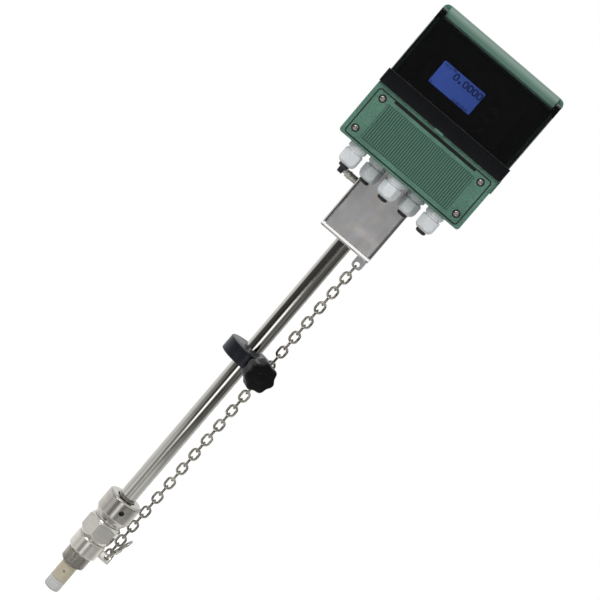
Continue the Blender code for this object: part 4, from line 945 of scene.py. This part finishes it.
class FLOWMETER_OT_display(bpy.types.Operator):
    """Front panel with the lit display, its reading and the three keys"""
    bl_idname = "flowmeter.display"
    bl_label = "Display"

    def execute(self, context):
        reading, ground = context.scene.flowmeter_shapes.reading, context.scene.flowmeter_colours.display
        # ABS with a fine spark texture: black, even, half matt.
        abs_black = moulded_plastic(
            "Textured ABS, front panel", linear("#08090b"), linear("#0d0e11"), 0.6, 0.7, 0.004,
            {"Specular IOR Level": 0.25})
        softened("display_panel", "front_panel", abs_black, 0.4)
        # Backlit liquid crystal under glass: blue ground, brighter near the lamps at its left
        # edge, with the faint mesh of unlit dots.
        material, tree, shader, place = started(
            "Backlit liquid crystal", {"Roughness": 0.15, "Emission Strength": 1.6})
        left, right, bottom, top = -48.5, 14.2, 709.5, 742.2
        sides = add(tree, "ShaderNodeSeparateXYZ", {"Vector": place})
        glow = add(tree, "ShaderNodeMapRange", {
            "Value": sides.outputs["X"], "From Min": left * MM, "From Max": right * MM, "To Min": 1.0, "To Max": 0.8})
        mesh_dots = add(tree, "ShaderNodeTexVoronoi", {
            "Vector": place, "Scale": cells(1.15), "Randomness": 0.0}, distance="CHEBYCHEV")
        grid = add(tree, "ShaderNodeMapRange", {
            "Value": mesh_dots.outputs["Distance"], "From Min": 0.3, "From Max": 0.5, "To Min": 1.0, "To Max": 0.86})
        level = add(tree, "ShaderNodeMath", {0: glow.outputs[0], 1: grid.outputs[0]}, operation="MULTIPLY")
        lit = add(tree, "ShaderNodeVectorMath", {0: ground[:3], "Scale": level.outputs[0]}, operation="SCALE")
        tree.links.new(lit.outputs[0], shader.inputs["Emission Color"])
        shader.inputs["Base Color"].default_value = toned(ground, 0.35)
        softened("display_glass", "lcd_module", material, 0.3)
        # Its printed mask leaves a window with rounded corners.
        mask = eased([(-0.9, -75.32), (1.6, -75.32), (1.6, -75.1), (-0.9, -75.1)], 0.05)
        piece("display_mask", beading((left + 0.2, bottom + 0.2), (right - 0.2, top - 0.2), 2.4, mask), abs_black,
              "panel_plastic", "lcd_module")
        # The switched-on dots: dark blue, just in front of the glass.
        ink = started("Liquid crystal dots, on", {
            "Base Color": linear("#0a1028"), "Roughness": 0.4, "Emission Color": linear("#101c58"),
            "Emission Strength": 0.15})[0]
        face = -75.2
        signs = [dots(reading, 12.0 - 6.9 * len(reading) + 1.2, 738.4, (1.15, 1.18), face)]
        for words, x, z, pitch in (("-0.0", -45.6, 739.4, 0.42), ("00", -33.5, 740.6, 0.42), ("0", -46.0, 713.6, 0.4),
                                   ("0.00", -12.5, 713.8, 0.42), ("00-0", -1.0, 713.8, 0.42)):
            signs.append(dots(words, x, z, (pitch, pitch), face))
        piece("display_reading", joined(*signs), ink, "lcd_blue", "lcd_module")
        # Silicone keys: soft black, with a printed arrow that hardly shows.
        silicone = moulded_plastic("Moulded silicone, keys", linear("#131416"), linear("#1c1d20"), 0.55, 0.8, 0.01)
        print_grey = moulded_plastic("Printed mark, keys", linear("#25272c"), linear("#2c2e33"), 0.5, 0.5, 0.0)
        for index in range(3):
            node = f"key_{index + 1}"
            low, high = limits(node)
            middle = (low + high) / 2
            out = placed((middle[0], 0, middle[2]), (90, "X"))
            key = eased([
                (0, 77.5), (2.6, 77.35), (4.5, 76.6), (4.5, 73.2), (6.0, 73.2), (6.0, 72.0), (2.0, 72.0),
                (2.0, -high[1]), (0, -high[1])], 0.35)
            piece(f"key_cap_{index + 1}", turned(key, 64, place=out), silicone, "panel_plastic", node)
            spin = placed((0, 0, 0), ((90, 180, 0)[index], "Z"))
            corner = np.arange(3) * FULL_TURN / 3
            arrow = plate(np.stack([1.9 * np.cos(corner), 1.9 * np.sin(corner)], axis=-1), 77.30, 77.58, 0.05,
                          out @ spin, 2)
            piece(f"key_mark_{index + 1}", arrow, print_grey, "panel_plastic", node)
        return {"FINISHED"}


class FLOWMETER_OT_cover(bpy.types.Operator):
    """Smoked see-through cover that hinges over the display"""
    bl_idname = "flowmeter.cover"
    bl_label = "Display Cover"

    def execute(self, context):
        tint = context.scene.flowmeter_colours.cover
        # Smoked polycarbonate, injection moulded: dark and clear, with the faintest ripple.
        material, tree, shader, place = started("Smoked polycarbonate, cover", {
            "Base Color": tint, "Roughness": 0.04, "IOR": 1.58, "Transmission Weight": 1.0})
        ripple = add(tree, "ShaderNodeTexNoise", {"Vector": place, "Scale": cells(25.0), "Detail": 1.0})
        joined_to(tree, shader, height=ripple.outputs["Fac"], depth=0.02)
        # Its rim is seen through centimetres of smoke instead of millimetres, so it looks black.
        rim = moulded_plastic("Smoked polycarbonate, thick rim", linear("#0b0c0e"), linear("#101114"), 0.08, 20.0, 0.01)
        cover = softened("smoked_cover", "display_cover", material, 0.7)

        def part(centre, normal):
            """The window is clear, the latch below it as green as the housing, and the rest rim."""
            window = (np.abs(normal[1]) > 0.9) & (centre[1] < -86.5 * MM) & (centre[1] > -90.5 * MM)
            return np.where(centre[2] < 675.9 * MM, 2, np.where(window, 0, 1))

        refinished(cover, [rim, bpy.data.materials["Moulded polyester, housing"]], part)
        return {"FINISHED"}


class FLOWMETER_OT_glands(bpy.types.Operator):
    """Five nylon cable glands with their domed nuts and blanking plugs"""
    bl_idname = "flowmeter.glands"
    bl_label = "Cable Glands"

    def execute(self, context):
        colour = context.scene.flowmeter_colours.glands
        # Polyamide 6 moulding: pale grey, waxy, with sink marks that soften its highlights.
        nylon = moulded_plastic(
            "Moulded polyamide, glands", toned(colour, 0.92), toned(colour, 1.05), 0.36, 2.2, 0.03,
            {"Subsurface Weight": 0.12, "Subsurface Radius": (0.002, 0.002, 0.002)})
        rubber = moulded_plastic("Moulded chloroprene, plugs", linear("#161616"), linear("#222222"), 0.6, 0.8, 0.03)
        for index in range(1, 6):
            low, high = limits(f"gland_plug_{index}")
            centre = (low + high) / 2
            at = placed((centre[0], centre[1], 0))
            # Each hexagon stands as it was when it was tight.
            flats = hexagon(22.0, (78.0, 4.0, 0.0, -4.0, 14.0)[index - 1])
            body = np.vstack([
                dense(eased([(8.0, 611.1), (8.0, 602.1), (12.1, 602.1), (12.7, 601.2), (12.7, 597.2),
                             (10.4, 595.8), (10.4, 593.7), (6.4, 593.7)], 0.35, loop=False), 0.5),
                [(6.4, 611.1)]])
            piece(f"gland_collar_{index}", turned(body, 96, flats, at), nylon, "gland_nylon", f"gland_body_{index}")
            nut = np.vstack([
                dense(eased([(11.9, 593.4), (12.7, 592.2), (12.7, 582.4), (11.4, 578.6), (9.5, 576.3),
                             (7.8, 575.4), (7.0, 575.4)], 0.6, loop=False), 0.4), [(7.0, 593.4)]])
            piece(f"gland_dome_nut_{index}", turned(nut, 96, flats, at), nylon, "gland_nylon", f"gland_nut_{index}")
            plug = eased([(0, high[2]), (6.7, high[2]), (6.7, low[2] + 1.6), (5.5, low[2] + 0.3),
                          (4.3, low[2]), (0, low[2])], 0.5)
            piece(f"gland_blanking_plug_{index}", turned(plug, 64, place=at), rubber, "seal_rubber",
                  f"gland_plug_{index}")
        return {"FINISHED"}


# ---------------------------------------------------------------------------------------
# The studio
# ---------------------------------------------------------------------------------------

AIM = Vector((0.004, 0.0, 0.41166))

# What polished metal sees round the studio: the rises of a ray (Z of its direction) between
# which a ring fades in, and the ring as (degrees from the camera's side, level). They stand
# for walls, black flags, a strip light behind the camera, and a dark card where the flat
# smoked cover looks.
RINGS = (
    (1.0, 0.0, (
        (-180, 1.0), (-118, 1.0), (-90, 0.5), (-80, 0.08), (-14, 0.05), (-9, 0.065), (9, 0.065), (14, 0.3), (45, 0.13),
        (90, 0.08), (110, 0.28), (134, 0.6), (160, 0.95), (180, 1.0))),
    (-0.045, -0.065, (
        (-180, 1.0), (-118, 1.0), (-104, 1.08), (-90, 0.55), (-78, 0.08), (-40, 0.06), (-22, 0.02), (-14, 0.05),
        (-9, 0.3), (-3, 2.0), (8, 2.5), (15, 1.1), (21, 0.38), (31, 0.17), (45, 0.13), (56, 0.3), (70, 0.18),
        (86, 0.07), (108, 0.27), (130, 0.6), (160, 0.95), (180, 1.0))),
    (-0.15, -0.19, (
        (-180, 1.0), (-118, 0.97), (-98, 0.95), (-82, 0.72), (-67, 0.38), (-54, 0.33), (-41, 0.28), (-29, 0.08),
        (-17, 0.05), (-9, 0.3), (-3, 1.6), (3, 3.2), (9, 2.2), (16, 0.5), (26, 0.06), (41, 0.05), (54, 0.11),
        (67, 0.13), (84, 0.11), (98, 0.28), (118, 0.65), (150, 1.0), (180, 1.0))),
    (-0.225, -0.258, (
        (-180, 1.0), (-118, 1.0), (-98, 0.9), (-82, 0.93), (-67, 0.66), (-54, 0.84), (-41, 0.84), (-31, 0.38),
        (-17, 0.22), (-7, 0.66), (4, 0.9), (11, 0.5), (18, 0.2), (29, 0.14), (41, 0.29), (54, 0.36), (82, 0.39),
        (98, 0.5), (118, 0.82), (150, 1.0), (180, 1.0))),
    (-0.282, -0.296, (
        (-180, 1.0), (-110, 0.98), (-90, 0.85), (-70, 0.66), (-46, 1.0), (-36, 0.85), (-28, 0.48), (-14, 0.32),
        (-4, 0.55), (6, 0.8), (12, 0.55), (20, 0.46), (32, 0.6), (44, 0.95), (60, 0.75), (95, 0.6), (114, 0.8),
        (135, 1.0), (180, 1.0))))

# The same for rays that fall or rise steeply: the white floor, its shaded middle right below,
# and the pale ceiling, each as the rises between which it fades in and its level.
STEEP = ((-0.4, -0.6, 1.0), (-0.84, -0.92, 0.45), (0.25, 0.5, 0.8))


def studio_world():
    """White to the camera, an even grey for light, and walls with black flags for metal.

    The flags stand by direction: atan2 of the ray's X and -Y gives the angle for the ramps.
    Each ring fades into the next as the rays fall from its first rise to its second, and the
    floor and the ceiling take over where they are steep.
    """
    world = bpy.data.worlds.new("Studio")
    world.use_nodes = True
    tree = world.node_tree
    tree.nodes.clear()
    ray = add(tree, "ShaderNodeSeparateXYZ", {"Vector": add(tree, "ShaderNodeTexCoord").outputs["Generated"]})
    back = add(tree, "ShaderNodeMath", {0: ray.outputs["Y"], 1: -1.0}, operation="MULTIPLY")
    turn = add(tree, "ShaderNodeMath", {0: ray.outputs["X"], 1: back.outputs[0]}, operation="ARCTAN2")
    share = add(tree, "ShaderNodeMath", {
        0: turn.outputs[0], 1: 1 / FULL_TURN, 2: 0.5}, operation="MULTIPLY_ADD")
    zones = [(above, below, filled(add(tree, "ShaderNodeValToRGB", {"Fac": share.outputs[0]}), [
        ((angle + 180) / 360, (value, value, value, 1.0)) for angle, value in ring])) for above, below, ring in RINGS]
    zones += [(start, end, (grey, grey, grey, 1.0)) for start, end, grey in STEEP]
    level = zones[0][2]
    for start, end, shade in zones[1:]:
        part = add(tree, "ShaderNodeMapRange", {"Value": ray.outputs["Z"], "From Min": start, "From Max": end})
        level = add(tree, "ShaderNodeMix", {
            "Factor": part.outputs[0], "A": level, "B": shade}, data_type="RGBA").outputs["Result"]
    path = add(tree, "ShaderNodeLightPath")
    mirrored = add(tree, "ShaderNodeMath", {
        0: path.outputs["Is Glossy Ray"], 1: path.outputs["Is Transmission Ray"]}, operation="MAXIMUM")
    seen = add(tree, "ShaderNodeMix", {
        "Factor": mirrored.outputs[0], "A": (0.62, 0.62, 0.63, 1.0), "B": level}, data_type="RGBA")
    shown = add(tree, "ShaderNodeMix", {
        "Factor": path.outputs["Is Camera Ray"], "A": seen.outputs["Result"], "B": (1.0, 1.0, 1.0, 1.0)},
        data_type="RGBA")
    light = add(tree, "ShaderNodeBackground", {"Color": shown.outputs["Result"]})
    add(tree, "ShaderNodeOutputWorld", {"Surface": light.outputs[0]})
    return world


def lamp(name, place, size, power):
    """A square area lamp that faces the aim point."""
    data = bpy.data.lights.new(name, "AREA")
    data.size = size
    data.energy = power
    obj = bpy.data.objects.new(name, data)
    bpy.context.scene.collection.objects.link(obj)
    obj.location = place
    obj.rotation_euler = (AIM - Vector(place)).to_track_quat("-Z", "Y").to_euler()
    return obj


class FLOWMETER_OT_stage(bpy.types.Operator):
    """White floor, studio light and the camera"""
    bl_idname = "flowmeter.stage"
    bl_label = "Studio"

    def execute(self, context):
        studio = context.scene.flowmeter_studio
        context.scene.world = studio_world()
        context.scene.view_settings.view_transform = "Standard"
        lamp("Key lamp", (-1.2, -1.8, 1.9), 1.2, studio.key_power)
        lamp("Fill lamp", (1.9, -1.5, 0.9), 0.9, studio.fill_power).visible_glossy = False
        # Painted board: white to the camera by its own light, with the meter's shadow on top.
        material, tree, shader, _ = started("Matt white floor", {
            "Base Color": (0.35, 0.35, 0.35, 1.0), "Roughness": 1.0, "Specular IOR Level": 0.0})
        path = add(tree, "ShaderNodeLightPath")
        glow = add(tree, "ShaderNodeMath", {0: path.outputs["Is Camera Ray"], 1: 0.86}, operation="MULTIPLY")
        shader.inputs["Emission Color"].default_value = (1.0, 1.0, 1.0, 1.0)
        tree.links.new(glow.outputs[0], shader.inputs["Emission Strength"])
        # Metal and glass look through the board at the studio's lower ring, which goes on below it.
        mirrored = add(tree, "ShaderNodeMath", {
            0: path.outputs["Is Glossy Ray"], 1: path.outputs["Is Transmission Ray"]}, operation="MAXIMUM")
        clear = add(tree, "ShaderNodeBsdfTransparent")
        either = add(tree, "ShaderNodeMixShader", {
            0: mirrored.outputs[0], 1: shader.outputs[0], 2: clear.outputs[0]})
        tree.links.new(either.outputs[0], tree.nodes["Material Output"].inputs["Surface"])
        level = studio.floor / MM
        turn = np.linspace(0, FULL_TURN, 96, endpoint=False)
        board = plate(1900 * np.stack([np.cos(turn), np.sin(turn)], axis=-1), level - 5.0, level, 1.0)
        floor = shaped("floor", board)
        floor.data.materials.append(material)
        data = bpy.data.cameras.new("Camera")
        data.lens = studio.lens
        data.sensor_width = 36.0
        data.clip_end = 50.0
        camera = bpy.data.objects.new("Camera", data)
        context.scene.collection.objects.link(camera)
        toward = Vector((0.0, math.cos(studio.height_angle), -math.sin(studio.height_angle)))
        camera.location = AIM - studio.distance * toward
        camera.rotation_euler = (toward.to_track_quat("-Z", "Y") @ Quaternion((0, 0, 1), studio.roll)).to_euler()
        context.scene.camera = camera
        return {"FINISHED"}


PIECES = (
    FLOWMETER_OT_fitting, FLOWMETER_OT_packing, FLOWMETER_OT_rod, FLOWMETER_OT_sensor, FLOWMETER_OT_collar,
    FLOWMETER_OT_chain, FLOWMETER_OT_neck, FLOWMETER_OT_housing, FLOWMETER_OT_display, FLOWMETER_OT_cover,
    FLOWMETER_OT_glands, FLOWMETER_OT_stage)


class FLOWMETER_PT_panel(bpy.types.Panel):
    """Lists the meter's pieces and their settings"""
    bl_label = "Flow Meter"
    bl_idname = "FLOWMETER_PT_panel"
    bl_space_type = "VIEW_3D"
    bl_region_type = "UI"
    bl_category = "Flow Meter"

    def draw(self, context):
        for settings in SETTINGS:
            group = getattr(context.scene, settings)
            box = self.layout.box()
            for key in group.bl_rna.properties.keys():
                if key not in ("rna_type", "name"):
                    box.prop(group, key)
        for piece in PIECES:
            self.layout.operator(piece.bl_idname)


SETTINGS = {
    "flowmeter_shapes": FlowMeterShapes, "flowmeter_colours": FlowMeterColours, "flowmeter_studio": FlowMeterStudio}
CLASSES = (*SETTINGS.values(), *PIECES, FLOWMETER_PT_panel)


def register():
    for cls in CLASSES:
        bpy.utils.register_class(cls)
    for name, group in SETTINGS.items():
        setattr(bpy.types.Scene, name, PointerProperty(type=group))


def unregister():
    for name in SETTINGS:
        delattr(bpy.types.Scene, name)
    for cls in reversed(CLASSES):
        bpy.utils.unregister_class(cls)


def main():
    register()
    bpy.ops.flowmeter.fitting()
    bpy.ops.flowmeter.packing()
    bpy.ops.flowmeter.rod()
    bpy.ops.flowmeter.sensor()
    bpy.ops.flowmeter.collar()
    bpy.ops.flowmeter.chain()
    bpy.ops.flowmeter.neck()
    bpy.ops.flowmeter.housing()
    bpy.ops.flowmeter.display()
    bpy.ops.flowmeter.cover()
    bpy.ops.flowmeter.glands()
    bpy.ops.flowmeter.stage()


if __name__ == "__main__":
    main()
